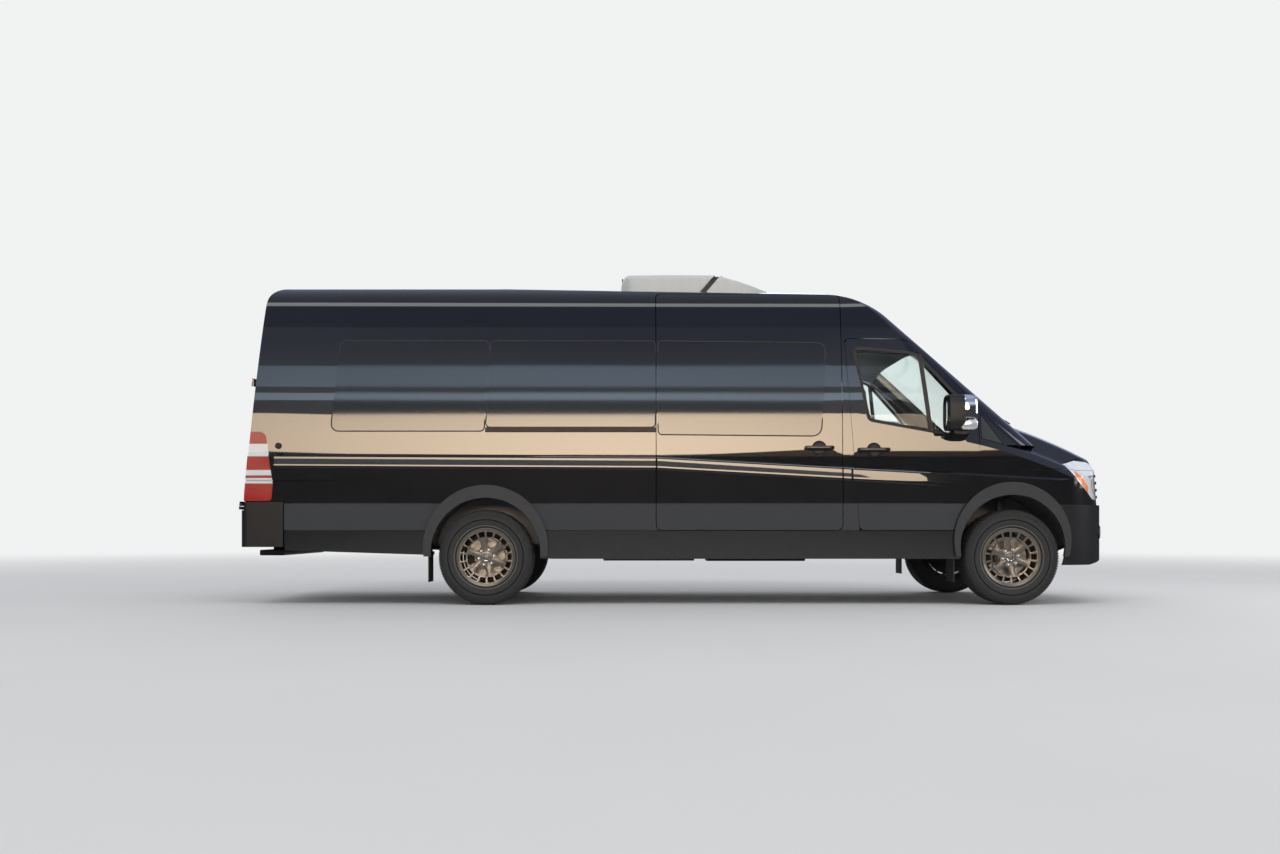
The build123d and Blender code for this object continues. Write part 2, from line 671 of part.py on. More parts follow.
HOOD_REST_Y = 400.0
COWL_FRONT_X = 3000.0
COWL_FALL = 130.0
cab_region = [
    (DOOR_REAR_TOP_X - SEAM / 2, CAB_TOP_Z),
    (DOOR_REAR_TOP_X - SEAM / 2, DOOR_TOP_Z),
    (1500, 1600),
    (FENDER_REAR_X, FENDER_TOP_Z),
    (COWL_FRONT_X, FENDER_TOP_Z - COWL_FALL),
    (COWL_FRONT_X, CAB_TOP_Z),
]
with BuildPart() as cab_frame:
    add(deepcopy(shell))
    add(side_prism(cab_region, 0, -1100, 1100), mode=Mode.INTERSECT)
    add(door_hole_pair.part, mode=Mode.SUBTRACT)
    add(screen_opening, mode=Mode.SUBTRACT)
    add(hood_prism(SEAM), mode=Mode.SUBTRACT)
    add(side_cylinder(FRONT_FLARE[0], FRONT_FLARE[1], FRONT_FLARE[2] + 8, -1100, 1100), mode=Mode.SUBTRACT)
    for y in (-HOOD_REST_Y, HOOD_REST_Y):
        add(box_between((2820, y - 20, 1380), (2856, y + 20, 1600)) - nose_cutter(NOSE_WALL - 8))
        add(box_between((2820, y - 20, 1380), (2930, y + 20, 1600)) - nose_cutter(NOSE_WALL + FIT))


lamp_room = nose_plan(LAMP_DEPTH, GRILLE_TOP[0], 0, 2000, 0) - nose_cutter(LAMP_DEPTH)
with BuildPart() as lamp_solid:
    add(deepcopy(envelope))
    add(side_prism(HEADLAMP_OUTLINE, HEADLAMP_RADII, HEADLAMP_INNER_Y, SIDE_HIGH), mode=Mode.INTERSECT)
    add(lamp_room, mode=Mode.SUBTRACT)
    add(hood_prism(SEAM), mode=Mode.SUBTRACT)

with BuildPart() as headlamps:
    add(lamp_solid.part)
    mirror(lamp_solid.part, about=Plane.XZ)

headlamp_hole = side_prism(HEADLAMP_OUTLINE, HEADLAMP_RADII, HEADLAMP_INNER_Y, SIDE_HIGH)
grille_hole = front_prism(GRILLE_OUTLINE, GRILLE_RADII, 3300, NOSE_X + 50)

with BuildPart() as fenders:
    add(deepcopy(shell))
    fender_region = [
        (2150, SILL_TOP_Z),
        (2150, FENDER_TOP_Z - FIT),
        (FENDER_REAR_X, FENDER_TOP_Z - FIT),
        (COWL_FRONT_X + FIT, FENDER_TOP_Z - COWL_FALL - FIT),
        (COWL_FRONT_X + FIT, FENDER_TOP_Z),
        (NOSE_X, FENDER_TOP_Z),
        (NOSE_X, SILL_TOP_Z),
    ]
    add(side_prism(fender_region, 0, -1100, 1100), mode=Mode.INTERSECT)
    behind_arch = box_between((2150, -1100, 0), (FENDER_REAR_X, 1100, 3000)) - side_cylinder(
        FRONT_FLARE[0], FRONT_FLARE[1], FRONT_FLARE[2] + 2, -1100, 1100
    )
    add(behind_arch, mode=Mode.SUBTRACT)
    add(box_between((FRONT_AXLE_X, -1100, 0), (NOSE_X + 50, 1100, BUMPER_TOP_Z)), mode=Mode.SUBTRACT)
    add(wheel_arch(FRONT_ARCH), mode=Mode.SUBTRACT)
    add(hood_prism(SEAM), mode=Mode.SUBTRACT)
    add(headlamp_hole, mode=Mode.SUBTRACT)
    mirror(headlamp_hole, about=Plane.XZ, mode=Mode.SUBTRACT)
    add(grille_hole, mode=Mode.SUBTRACT)

with BuildPart() as hood:
    add(deepcopy(shell))
    add(hood_prism(0), mode=Mode.INTERSECT)

with BuildPart() as grille:
    add(deepcopy(shell))
    add(front_prism(GRILLE_OUTLINE, GRILLE_RADII, 3300, NOSE_X + 50), mode=Mode.INTERSECT)


# Rear doors, each hung on a line that leans forwards and inwards
REAR_HINGE = (TAIL_X + 12.5, 991.0, 900.0)
REAR_HINGE_FORWARD = 0.0849
REAR_HINGE_INWARD = 0.05
REAR_HINGE_ZS = (833.0, 1821.0)
KNUCKLE_RADIUS = 6.5
PIN_RADIUS = 3.0
PIN_GAP = 0.3
BRACKET_HEIGHT = 24.0
HINGE_HALF_HEIGHT = 18.0
STRAP_INNER_Y = 770.0

rear_door_outline = [
    (SEAM / 2, REAR_DOOR_BOTTOM_Z),
    (REAR_DOOR_HALF, REAR_DOOR_BOTTOM_Z),
    (REAR_DOOR_HALF, SHOULDER_Z),
    (REAR_DOOR_TOP_HALF, REAR_DOOR_TOP_Z),
    (SEAM / 2, REAR_DOOR_TOP_Z),
]


def rear_hinge_at(z):
    """Point of the left rear door's hinge line at one height."""
    rise = z - REAR_HINGE[2]
    return (REAR_HINGE[0] + REAR_HINGE_FORWARD * rise, REAR_HINGE[1] - REAR_HINGE_INWARD * rise)


def hinge_rod(radius, low_z, high_z):
    """Rod along the left rear hinge line between two heights."""
    x, y = rear_hinge_at(low_z)
    rise = Vector(REAR_HINGE_FORWARD, -REAR_HINGE_INWARD, 1)
    with BuildPart() as rod:
        with BuildSketch(Plane(Vector(x, y, low_z), x_dir=(0, 1, 0), z_dir=rise)):
            Circle(radius)
        extrude(amount=(high_z - low_z) * rise.length)
    return rod.part


with BuildPart() as rear_door_left:
    add(deepcopy(shell))
    add(front_prism(rear_door_outline, [5, 40, 300, 60, 5], *TAIL_BAND), mode=Mode.INTERSECT)
    add(front_prism(REAR_PANE, 60, *TAIL_BAND), mode=Mode.SUBTRACT)
    for hinge_z in REAR_HINGE_ZS:
        hinge_x, hinge_y = rear_hinge_at(hinge_z)
        strap_low = (hinge_x + 5, STRAP_INNER_Y, hinge_z - HINGE_HALF_HEIGHT)
        add(box_between(strap_low, (hinge_x + 12, hinge_y + KNUCKLE_RADIUS, hinge_z + HINGE_HALF_HEIGHT)))
        add(box_between(strap_low, (hinge_x + 40, STRAP_INNER_Y + 30, hinge_z + HINGE_HALF_HEIGHT)))
        add(hinge_rod(KNUCKLE_RADIUS, hinge_z - HINGE_HALF_HEIGHT, hinge_z + HINGE_HALF_HEIGHT))
        add(hinge_rod(PIN_RADIUS + PIN_GAP, hinge_z - 40, hinge_z + 40), mode=Mode.SUBTRACT)

with BuildPart() as rear_door_right:
    mirror(rear_door_left.part, about=Plane.XZ)

with BuildPart() as tail_lamp:
    add(deepcopy(shell))
    add(tail_lamp_prism, mode=Mode.INTERSECT)

with BuildPart() as tail_lamps:
    add(tail_lamp.part)
    mirror(tail_lamp.part, about=Plane.XZ)


# Glass
def shrunk(points):
    """Outline with each point moved towards the middle by the fit gap."""
    middle_a = sum(a for a, b in points) / len(points)
    middle_b = sum(b for a, b in points) / len(points)
    return [(a - FIT if a > middle_a else a + FIT, b - FIT if b > middle_b else b + FIT) for a, b in points]


with BuildPart() as rear_window_left:
    add(deepcopy(glass_skin))
    add(front_prism(shrunk(REAR_PANE), 60, *TAIL_BAND), mode=Mode.INTERSECT)

with BuildPart() as rear_window_right:
    mirror(rear_window_left.part, about=Plane.XZ)

with BuildPart() as front_window_left:
    add(deepcopy(glass_skin))
    add(pane_prism("door", FIT, DOOR_LOW, SIDE_HIGH), mode=Mode.INTERSECT)

with BuildPart() as front_window_right:
    mirror(front_window_left.part, about=Plane.XZ)

fixed_pane_prisms = pane_prism("rear", FIT, SIDE_LOW, SIDE_HIGH) + [
    pane_prism("middle", FIT, SIDE_LOW, SIDE_HIGH),
    pane_prism("slider", FIT, SIDE_LOW, SIDE_HIGH),
]
with BuildPart() as side_windows:
    add(deepcopy(glass_skin))
    add(fixed_pane_prisms, mode=Mode.INTERSECT)
    mirror(about=Plane.XZ)

with BuildPart() as windshield:
    add(rake_prism(shrunk(SCREEN_OUTLINE), SCREEN_RADII, 500))
    add(roof_front_cutter(GLASS), mode=Mode.INTERSECT)
    add(roof_front_cutter(0), mode=Mode.SUBTRACT)

# Lower body
BUMPER_REAR_FRONT_X = TAIL_X + 354.5
BUMPER_REAR_TOP_Z = 680.0
BUMPER_CORNER_TOP_Z = 848.0
BUMPER_REAR_BOTTOM_Z = 478.0
BUMPER_BOTTOM_Z = 330.0
BUMPER_WALL = 12.0
INTAKE_OUTLINE = [(-560, 690), (560, 690), (620, 560), (560, 470), (-560, 470), (-620, 560)]

STEER_REACH = 470.0
with BuildPart() as steer_room:
    with Locations((FRONT_AXLE_X, kingpin_y(WHEEL_Z), SILL_TOP_Z / 2)):
        Cylinder(STEER_REACH, SILL_TOP_Z + 20)
    mirror(about=Plane.XZ)

with BuildPart() as sill_panels:
    add(deepcopy(shell))
    low_band = [(TAIL_X - 10, 462), (-1100, 380), (2300, 380), (2300, SILL_TOP_Z), (TAIL_X - 10, SILL_TOP_Z)]
    add(side_prism(low_band, 0, -1100, 1100), mode=Mode.INTERSECT)
    add(box_between((TAIL_X - 20, -1100, 0), (BUMPER_REAR_FRONT_X + SEAM, 1100, 1000)), mode=Mode.SUBTRACT)
    add(box_between((TAIL_X - 20, -800, 0), (NOSE_X, 800, 1000)), mode=Mode.SUBTRACT)
    add(wheel_arch(REAR_ARCH), mode=Mode.SUBTRACT)
    add(wheel_arch(FRONT_ARCH), mode=Mode.SUBTRACT)
    add(steer_room.part, mode=Mode.SUBTRACT)

with BuildPart() as arch_flares:
    for arch, flare in ((REAR_ARCH, REAR_FLARE), (FRONT_ARCH, FRONT_FLARE)):
        add(side_cylinder(*flare, 930, BODY_WIDTH / 2) - side_cylinder(*arch, 900, 1100))
    add(box_between((TAIL_X, 900, -200), (NOSE_X, 1100, SIDE_BOTTOM_Z + 20)), mode=Mode.SUBTRACT)
    add(deepcopy(envelope), mode=Mode.SUBTRACT)
    mirror(about=Plane.XZ)

with BuildPart() as bumper_front:
    add(nose_plan(0, NOSE_X, BUMPER_BOTTOM_Z, BUMPER_TOP_Z - FIT, 0))
    bumper_side = [
        (FRONT_AXLE_X, BUMPER_BOTTOM_Z),
        (3330, BUMPER_BOTTOM_Z),
        (3560, 372),
        (NOSE_X, 500),
        (NOSE_X, 760),
        (3650, BUMPER_TOP_Z),
        (FRONT_AXLE_X, BUMPER_TOP_Z),
    ]
    add(side_prism(bumper_side, 0, -1100, 1100), mode=Mode.INTERSECT)
    add(nose_plan(BUMPER_WALL, NOSE_X, 0, BUMPER_TOP_Z - BUMPER_WALL, 0), mode=Mode.SUBTRACT)
    add(nose_plan(BUMPER_WALL + 60, NOSE_X, 0, 1000, 0), mode=Mode.SUBTRACT)
    add(wheel_arch(FRONT_ARCH), mode=Mode.SUBTRACT)
    add(box_between((FRONT_AXLE_X - 500, -1100, 0), (FRONT_AXLE_X + 300, 1100, 1000)), mode=Mode.SUBTRACT)
    add(front_prism(INTAKE_OUTLINE, 40, 3300, NOSE_X + 20), mode=Mode.SUBTRACT)
    add(arch_flares.part, mode=Mode.SUBTRACT)

BUMPER_HALF = 990.0
BUMPER_CORNER_RADIUS = 60.0
HINGE_NOTCH_Z = 780.0
BUMPER_REAR_WALL = 14.0


def rear_bumper_plan(inset):
    """Upright prism of the rear bumper's plan."""
    half = BUMPER_HALF - inset
    rear = TAIL_X + inset
    points = [(rear, -half), (rear, half), (BUMPER_REAR_FRONT_X + inset, half), (BUMPER_REAR_FRONT_X + inset, -half)]
    return plan_prism(points, [BUMPER_CORNER_RADIUS, BUMPER_CORNER_RADIUS, 1, 1], BUMPER_REAR_BOTTOM_Z - inset, 900)


RAIL_INNER_Y = 400.0
RAIL_OUTER_Y = 470.0
RAIL_BOTTOM_Z = 480.0
RAIL_TOP_Z = 599.7
RAIL_REAR_X = TAIL_X + 222.5
RAIL_FRONT_X = 3350.0
RAIL_WALL = 6.0
corner_low = REAR_DOOR_HALF + 8
with BuildPart() as bumper_rear:
    add(rear_bumper_plan(0))
    add(rear_bumper_plan(BUMPER_REAR_WALL), mode=Mode.SUBTRACT)
    add(box_between((BUMPER_REAR_FRONT_X - 20, -950, 0), (0, 950, 1000)), mode=Mode.SUBTRACT)
    add(box_between((TAIL_X - 10, -1100, BUMPER_CORNER_TOP_Z), (0, 1100, 1000)), mode=Mode.SUBTRACT)
    add(box_between((TAIL_X - 10, -corner_low, BUMPER_REAR_TOP_Z), (0, corner_low, 1000)), mode=Mode.SUBTRACT)
    for side in (1, -1):
        ends = sorted((side * RAIL_INNER_Y, side * RAIL_OUTER_Y))
        add(box_between((TAIL_X + 10, ends[0], 500), (RAIL_REAR_X, ends[1], 590)))
        notch = sorted((side * (corner_low - 10), side * 1100))
        add(
            box_between((TAIL_X - 10, notch[0], HINGE_NOTCH_Z), (TAIL_LOW[0], notch[1], 1000)),
            mode=Mode.SUBTRACT,
        )

corner_cut = box_between((TAIL_X - 20, 955, 0), (BUMPER_REAR_FRONT_X + SEAM, 1100, BUMPER_CORNER_TOP_Z + SEAM))
with BuildPart() as side_wall_base:
    add(side_wall_plain.part)
    add(corner_cut, mode=Mode.SUBTRACT)
    for hinge_z in REAR_HINGE_ZS:
        upward = hinge_z > BUMPER_CORNER_TOP_Z
        reach = HINGE_HALF_HEIGHT + CLEAR
        low_z = hinge_z + reach if upward else hinge_z - reach - BRACKET_HEIGHT
        high_z = low_z + BRACKET_HEIGHT
        hinge_x, hinge_y = rear_hinge_at(low_z + BRACKET_HEIGHT / 2)
        add(box_between((hinge_x - 6, hinge_y - 90, low_z), (hinge_x + 7, hinge_y + 5, high_z)))
        add(box_between((hinge_x, hinge_y - 90, low_z), (hinge_x + 60, hinge_y - 75, high_z)))
        add(hinge_rod(PIN_RADIUS, hinge_z - HINGE_HALF_HEIGHT, high_z - 1 if upward else hinge_z + 15))
        if not upward:
            add(hinge_rod(PIN_RADIUS, low_z + 1, hinge_z))

with BuildPart() as side_wall_left:
    add(side_wall_base.part)
    add(slider_window_hole, mode=Mode.SUBTRACT)

with BuildPart() as side_wall_right:
    mirror(side_wall_base.part, about=Plane.XZ)
    mirror(slider_prism(SEAM, SIDE_LOW, SIDE_HIGH), about=Plane.XZ, mode=Mode.SUBTRACT)

TIE_DOWN_XS = (-2600.0, -600.0)
TIE_DOWN_Y = 560.0
TIE_DOWN_RADIUS = 8.0
SHAFT_Z = 512.0
SHAFT_RADIUS = 29.0

FLOOR_BOTTOM_Z = 600.0
FLOOR_TOP_Z = 690.0
BOARD_REAR_X = TAIL_X + 372.5
BOARD_FRONT_X = 1200.0
BOARD_HALF = 640.0
BOARD_TOP_Z = 698.0
FLOOR_FRONT_X = 2580.0
WHEELHOUSE_INNER_Y = 670.0
LINER_INNER_Y = 480.0
LINER_OUTER_Y = 935.0
LINER = (FRONT_AXLE_X, 430.0, 480.0)
LINER_WALL = 6.0
ARCH_WALL = 14.0
BULKHEAD_X = 2560.0
BULKHEAD_TOP_Z = 1330.0
BULKHEAD_HALF = 845.0

rear_spaces = side_cylinder(*REAR_ARCH, WHEELHOUSE_INNER_Y, 1100) + side_cylinder(
    *REAR_ARCH, -1100, -WHEELHOUSE_INNER_Y
)
front_spaces = side_cylinder(*LINER, LINER_INNER_Y, 1100) + side_cylinder(*LINER, -1100, -LINER_INNER_Y)
below_floor = box_between((TAIL_X, -1100, -200), (NOSE_X, 1100, FLOOR_BOTTOM_Z - 100))
with BuildPart() as floor:
    add(box_between((TAIL_X, -1000, FLOOR_BOTTOM_Z), (FLOOR_FRONT_X, 1000, FLOOR_TOP_Z)))
    for side in (1, -1):
        x, z, radius = REAR_ARCH
        drum = sorted((side * (WHEELHOUSE_INNER_Y - ARCH_WALL), side * 1000))
        add(side_cylinder(x, z, radius + ARCH_WALL, *drum))
        x, z, radius = LINER
        drum = sorted((side * (LINER_INNER_Y - LINER_WALL), side * LINER_OUTER_Y))
        add(side_cylinder(x, z, radius + LINER_WALL, *drum))
    add(section_prism(WALL + FIT) & tail_prism(WALL + FIT), mode=Mode.INTERSECT)
    add(box_between((BULKHEAD_X, -BULKHEAD_HALF, FLOOR_BOTTOM_Z), (FLOOR_FRONT_X, BULKHEAD_HALF, BULKHEAD_TOP_Z)))
    add(rear_spaces, mode=Mode.SUBTRACT)
    add(front_spaces, mode=Mode.SUBTRACT)
    add(below_floor, mode=Mode.SUBTRACT)
    for side in (1, -1):
        door_side = sorted((side * 905, side * 1100))
        add(
            box_between((DOOR_REAR_TOP_X - 60, door_side[0], 0), (FENDER_REAR_X, door_side[1], 1000)),
            mode=Mode.SUBTRACT,
        )
    add(box_between((BOARD_REAR_X, -BOARD_HALF, FLOOR_TOP_Z - 1), (BOARD_FRONT_X, BOARD_HALF, BOARD_TOP_Z)))
    with Locations(*[Vector(x, y, BOARD_TOP_Z) for x in TIE_DOWN_XS for y in (-TIE_DOWN_Y, TIE_DOWN_Y)]):
        Hole(TIE_DOWN_RADIUS, 48)

# Chassis under the floor
CROSS_MEMBER_XS = [TAIL_X + 372.5, -2500.0, -1300.0, -300.0, 700.0, 1700.0, 2450.0, 3300.0]
with BuildPart() as chassis_frame:
    for side in (1, -1):
        outer = sorted((side * RAIL_INNER_Y, side * RAIL_OUTER_Y))
        inner = sorted((side * (RAIL_INNER_Y - 1), side * (RAIL_OUTER_Y - RAIL_WALL)))
        add(box_between((RAIL_REAR_X, outer[0], RAIL_BOTTOM_Z), (RAIL_FRONT_X, outer[1], RAIL_TOP_Z)))
        add(
            box_between(
                (RAIL_REAR_X - 1, inner[0], RAIL_BOTTOM_Z + RAIL_WALL),
                (RAIL_FRONT_X + 1, inner[1], RAIL_TOP_Z - RAIL_WALL),
            ),
            mode=Mode.SUBTRACT,
        )
    for x in CROSS_MEMBER_XS:
        add(box_between((x - 35, -RAIL_OUTER_Y + 1, 545), (x + 35, RAIL_OUTER_Y - 1, RAIL_TOP_Z - RAIL_WALL)))

with BuildPart() as engine_block:
    add(box_between((2650, -250, 490), (3230, 250, 1090)))
    fillet(engine_block.edges().filter_by(Axis.X), 30)
    add(box_between((2880, -RAIL_INNER_Y, 500), (2980, RAIL_INNER_Y, 560)))

with BuildPart() as propeller_shaft:
    with BuildSketch(Plane.YZ.offset(REAR_AXLE_X + 220 + FIT)):
        with Locations((0, SHAFT_Z)):
            Circle(SHAFT_RADIUS)
    extrude(amount=2650 - FIT - (REAR_AXLE_X + 220 + FIT), dir=Vector(1, 0, 0))

with BuildPart() as fuel_tank:
    add(box_between((250, 90, 330), (1150, RAIL_INNER_Y, 530)))
    fillet(fuel_tank.edges().filter_by(Axis.X).group_by(Axis.Z)[0], 50)

with BuildPart() as exhaust:
    with BuildSketch(Plane.YZ.offset(-1250)):
        with Locations((-270, 420)):
            Circle(30)
    extrude(amount=3700, dir=Vector(1, 0, 0))
    with BuildSketch(Plane.YZ.offset(-700)):
        with Locations((-270, 420)):
            Ellipse(100, 75)
    extrude(amount=800, dir=Vector(1, 0, 0))
    for x in (-600, -100, 1500):
        add(box_between((x - 12, -RAIL_INNER_Y, 481), (x + 12, -270, 485)))
        add(box_between((x - 12, -282, 430), (x + 12, -258, 485)))

# Rear axle and springs
AXLE_RADIUS = 45.0
SPINDLE_RADIUS = HUB_BORE - RUNNING
SPINDLE_END_Y = WHEEL_Y + DISC_FACE
AXLE_SHOULDER_Y = WHEEL_Y + ROTOR_FACE - SEAM
DIFF_HALF = 110.0
with BuildPart() as rear_axle:
    add(side_cylinder(REAR_AXLE_X, WHEEL_Z, AXLE_RADIUS, -AXLE_SHOULDER_Y, AXLE_SHOULDER_Y))
    add(side_cylinder(REAR_AXLE_X, WHEEL_Z, SPINDLE_RADIUS, -SPINDLE_END_Y, SPINDLE_END_Y))
    add(rounded_box((REAR_AXLE_X - 130, -DIFF_HALF, 285), (REAR_AXLE_X + 220, DIFF_HALF, 560), 40))

SPRING_Y = (480.0, 550.0)
SPRING_THICKNESS = 30.0
SPRING_HALF_LENGTH = 700.0
SPRING_LOW_Z = 455.0
SPRING_END_Z = 520.0
with BuildPart() as leaf_spring:
    with BuildSketch(Plane.XZ.offset(-SPRING_Y[0])):
        with BuildLine():
            rear_x = REAR_AXLE_X - SPRING_HALF_LENGTH
            front_x = REAR_AXLE_X + SPRING_HALF_LENGTH
            ThreePointArc((rear_x, SPRING_END_Z), (REAR_AXLE_X, SPRING_LOW_Z), (front_x, SPRING_END_Z))
            Line((front_x, SPRING_END_Z), (front_x, SPRING_END_Z + SPRING_THICKNESS))
            ThreePointArc(
                (front_x, SPRING_END_Z + SPRING_THICKNESS),
                (REAR_AXLE_X, SPRING_LOW_Z + SPRING_THICKNESS),
                (rear_x, SPRING_END_Z + SPRING_THICKNESS),
            )
            Line((rear_x, SPRING_END_Z + SPRING_THICKNESS), (rear_x, SPRING_END_Z))
        make_face()
    extrude(amount=SPRING_Y[0] - SPRING_Y[1])
    saddle = box_between((REAR_AXLE_X - 60, SPRING_Y[0], 395), (REAR_AXLE_X + 60, SPRING_Y[1], SPRING_LOW_Z + 5))
    add(saddle - side_cylinder(REAR_AXLE_X, WHEEL_Z, AXLE_RADIUS, SPRING_Y[0] - 10, SPRING_Y[1] + 10))
    for x in (REAR_AXLE_X - SPRING_HALF_LENGTH, REAR_AXLE_X + SPRING_HALF_LENGTH):
        add(box_between((x - 35, RAIL_OUTER_Y, SPRING_END_Z - 15), (x + 35, SPRING_Y[1], RAIL_TOP_Z - 10)))

with BuildPart() as leaf_springs:
    add(leaf_spring.part)
    mirror(leaf_spring.part, about=Plane.XZ)

# Front suspension and the two steered knuckles


def kingpin_rod(radius, low_z, high_z):
    """Rod along the left kingpin line between two heights."""
    lean = Vector(0, KINGPIN_SLOPE, 1)
    foot = Plane(Vector(FRONT_AXLE_X, kingpin_y(low_z), low_z), x_dir=(1, 0, 0), z_dir=lean)
    with BuildPart() as rod:
        with BuildSketch(foot):
            Circle(radius)
        extrude(amount=(high_z - low_z) * lean.length)
    return rod.part


ARM_TOP_Z = 284.0
STRUT_LOW_Z = 500.0
BALL_GAP = 0.5
POST_LOW_Z = ARM_TOP_Z + 4.2 + BALL_GAP
POST_HIGH_Z = STRUT_LOW_Z - BALL_GAP
POST_RADIUS = 26.0
with BuildPart() as front_left_suspension:
    arm = [(2545, 400), (2795, 400), (2706, 745), (2631, 745)]
    add(plan_prism(arm, [1, 1, 32, 32], 240, ARM_TOP_Z))
    add(box_between((2545, 380, 240), (2795, 420, 345)))
    add(kingpin_rod(POST_RADIUS, STRUT_LOW_Z, 890))
    add(kingpin_rod(62, 870, 960) & side_cylinder(LINER[0], LINER[1], LINER[2] - FIT, 500, 1000))

with BuildPart() as front_suspension:
    add(box_between((2545, -420, 330), (2795, 420, 420)))
    add(box_between((2620, -RAIL_OUTER_Y + 5, 400), (2720, RAIL_OUTER_Y - 5, RAIL_BOTTOM_Z)))
    add(front_left_suspension.part)
    mirror(front_left_suspension.part, about=Plane.XZ)

with BuildPart() as knuckle_left:
    add(kingpin_rod(POST_RADIUS, POST_LOW_Z, POST_HIGH_Z))
    add(side_cylinder(FRONT_AXLE_X, WHEEL_Z, 48, kingpin_y(WHEEL_Z), AXLE_SHOULDER_Y))
    add(side_cylinder(FRONT_AXLE_X, WHEEL_Z, SPINDLE_RADIUS, kingpin_y(WHEEL_Z), SPINDLE_END_Y))
    add(box_between((FRONT_AXLE_X - 130, 715, 340), (FRONT_AXLE_X, 737, 372)))

with BuildPart() as knuckle_right:
    mirror(knuckle_left.part, about=Plane.XZ)


# Wheels, about the left wheel's centre with Y outwards
def turned(points, closed=True):
    """Solid of revolution about the wheel's axis, from points of (radius, width position)."""
    with BuildPart() as ring:
        with BuildSketch(Plane.XY):
            with BuildLine():
                Polyline(*points, close=closed)
            make_face()
        revolve(axis=Axis.Y)
    return ring.part


BARREL_HALF = RIM_INNER_WIDTH / 2
FLANGE_HALF = BARREL_HALF + RIM_FLANGE_THICKNESS
BARREL_INNER = BEAD_RADIUS - RIM_BARREL
BARREL_PROFILE = [
    (BARREL_INNER, -FLANGE_HALF),
    (RIM_FLANGE_RADIUS, -FLANGE_HALF),
    (RIM_FLANGE_RADIUS, -BARREL_HALF),
    (BEAD_RADIUS, -BARREL_HALF),
    (BEAD_RADIUS, BARREL_HALF),
    (RIM_FLANGE_RADIUS, BARREL_HALF),
    (RIM_FLANGE_RADIUS, FLANGE_HALF),
    (BARREL_INNER, FLANGE_HALF),
]
DISC_PROFILE = [
    (HUB_BORE, DISC_FACE),
    (HUB_BORE, 70),
    (78, 74),
    (200, 98),
    (BARREL_INNER + 4, 100),
    (BARREL_INNER + 4, 84),
    (190, 80),
    (82, DISC_FACE),
]
HUB_PROFILE = [(HUB_BORE, ROTOR_FACE), (HUB_RADIUS, ROTOR_FACE), (HUB_RADIUS, DISC_FACE + 2), (HUB_BORE, DISC_FACE + 2)]
ROTOR_PROFILE = [
    (HUB_RADIUS - 2, ROTOR_FACE),
    (ROTOR_RADIUS, ROTOR_FACE),
    (ROTOR_RADIUS, ROTOR_FACE + ROTOR_THICKNESS),
    (HUB_RADIUS - 2, ROTOR_FACE + ROTOR_THICKNESS),
]
WINDOW_OUTLINE = [(88, 16), (150, 46), (150, -46), (88, -16)]
SLOT_OUTLINE = [(164, 19), (205, 24), (205, -24), (164, -19)]


def wheel_cut(points, radius, count, first_angle):
    """Windows through the disc, spaced evenly, from an outline of (radius, tangential)."""
    with BuildPart() as cut:
        with BuildSketch(Plane.XZ.offset(-DISC_FACE - 2)):
            with PolarLocations(0, count, start_angle=first_angle):
                Polygon(*points, align=None)
            fillet(vertices(), radius)
        extrude(amount=-80)
    return cut.part


with BuildPart() as rim:
    add(turned(BARREL_PROFILE))
    add(turned(DISC_PROFILE))
    add(wheel_cut(WINDOW_OUTLINE, 9, SPOKES, 360 / SPOKES / 2), mode=Mode.SUBTRACT)
    add(wheel_cut(SLOT_OUTLINE, 6, SLOTS, 360 / SLOTS / 2), mode=Mode.SUBTRACT)
    add(turned(HUB_PROFILE))
    add(turned(ROTOR_PROFILE))
    with BuildSketch(Plane.XZ.offset(-80)):
        with PolarLocations(BOLT_CIRCLE / 2, BOLT_COUNT):
            Circle(BOLT_HOLE_RADIUS)
    extrude(amount=60, mode=Mode.SUBTRACT)

TYRE_FOOT_HALF = BARREL_HALF - 5
TYRE_PROFILE = [
    (BEAD_RADIUS + FIT, -TYRE_FOOT_HALF),
    (BEAD_RADIUS + FIT, TYRE_FOOT_HALF),
    (315, TYRE_WIDTH / 2),
    (368, TYRE_WIDTH / 2 - 4),
    (TYRE_RADIUS, TYRE_TREAD_WIDTH / 2),
    (TYRE_RADIUS, -TYRE_TREAD_WIDTH / 2),
    (368, -TYRE_WIDTH / 2 + 4),
    (315, -TYRE_WIDTH / 2),
]
tyre_ring = turned(TYRE_PROFILE)

# Cab inside
dashboard_outline = [(2250, 1060), (BULKHEAD_X - FIT, 1060), (BULKHEAD_X - FIT, 1325), (2480, 1335), (2275, 1290)]
with BuildPart() as dashboard:
    add(side_prism(dashboard_outline, [30, 5, 5, 60, 60], -860, 860))

SEAT_Y = 470.0
with BuildPart() as seat_bases:
    for y in (-SEAT_Y, SEAT_Y):
        add(box_between((1600, y - 200, FLOOR_TOP_Z), (1980, y + 200, 985)))

with BuildPart() as seat_cushions:
    for y in (-SEAT_Y, SEAT_Y):
        add(rounded_box((1560, y - 250, 985), (2030, y + 250, 1110), 35))
        back_outline = [(1575, 1060), (1700, 1090), (1600, 1640), (1490, 1620)]
        back = side_prism(back_outline, 35, y - 240, y + 240)
        add(back)
        head_outline = [(1500, 1600), (1590, 1620), (1565, 1850), (1475, 1840)]
        add(side_prism(head_outline, 30, y - 130, y + 130))

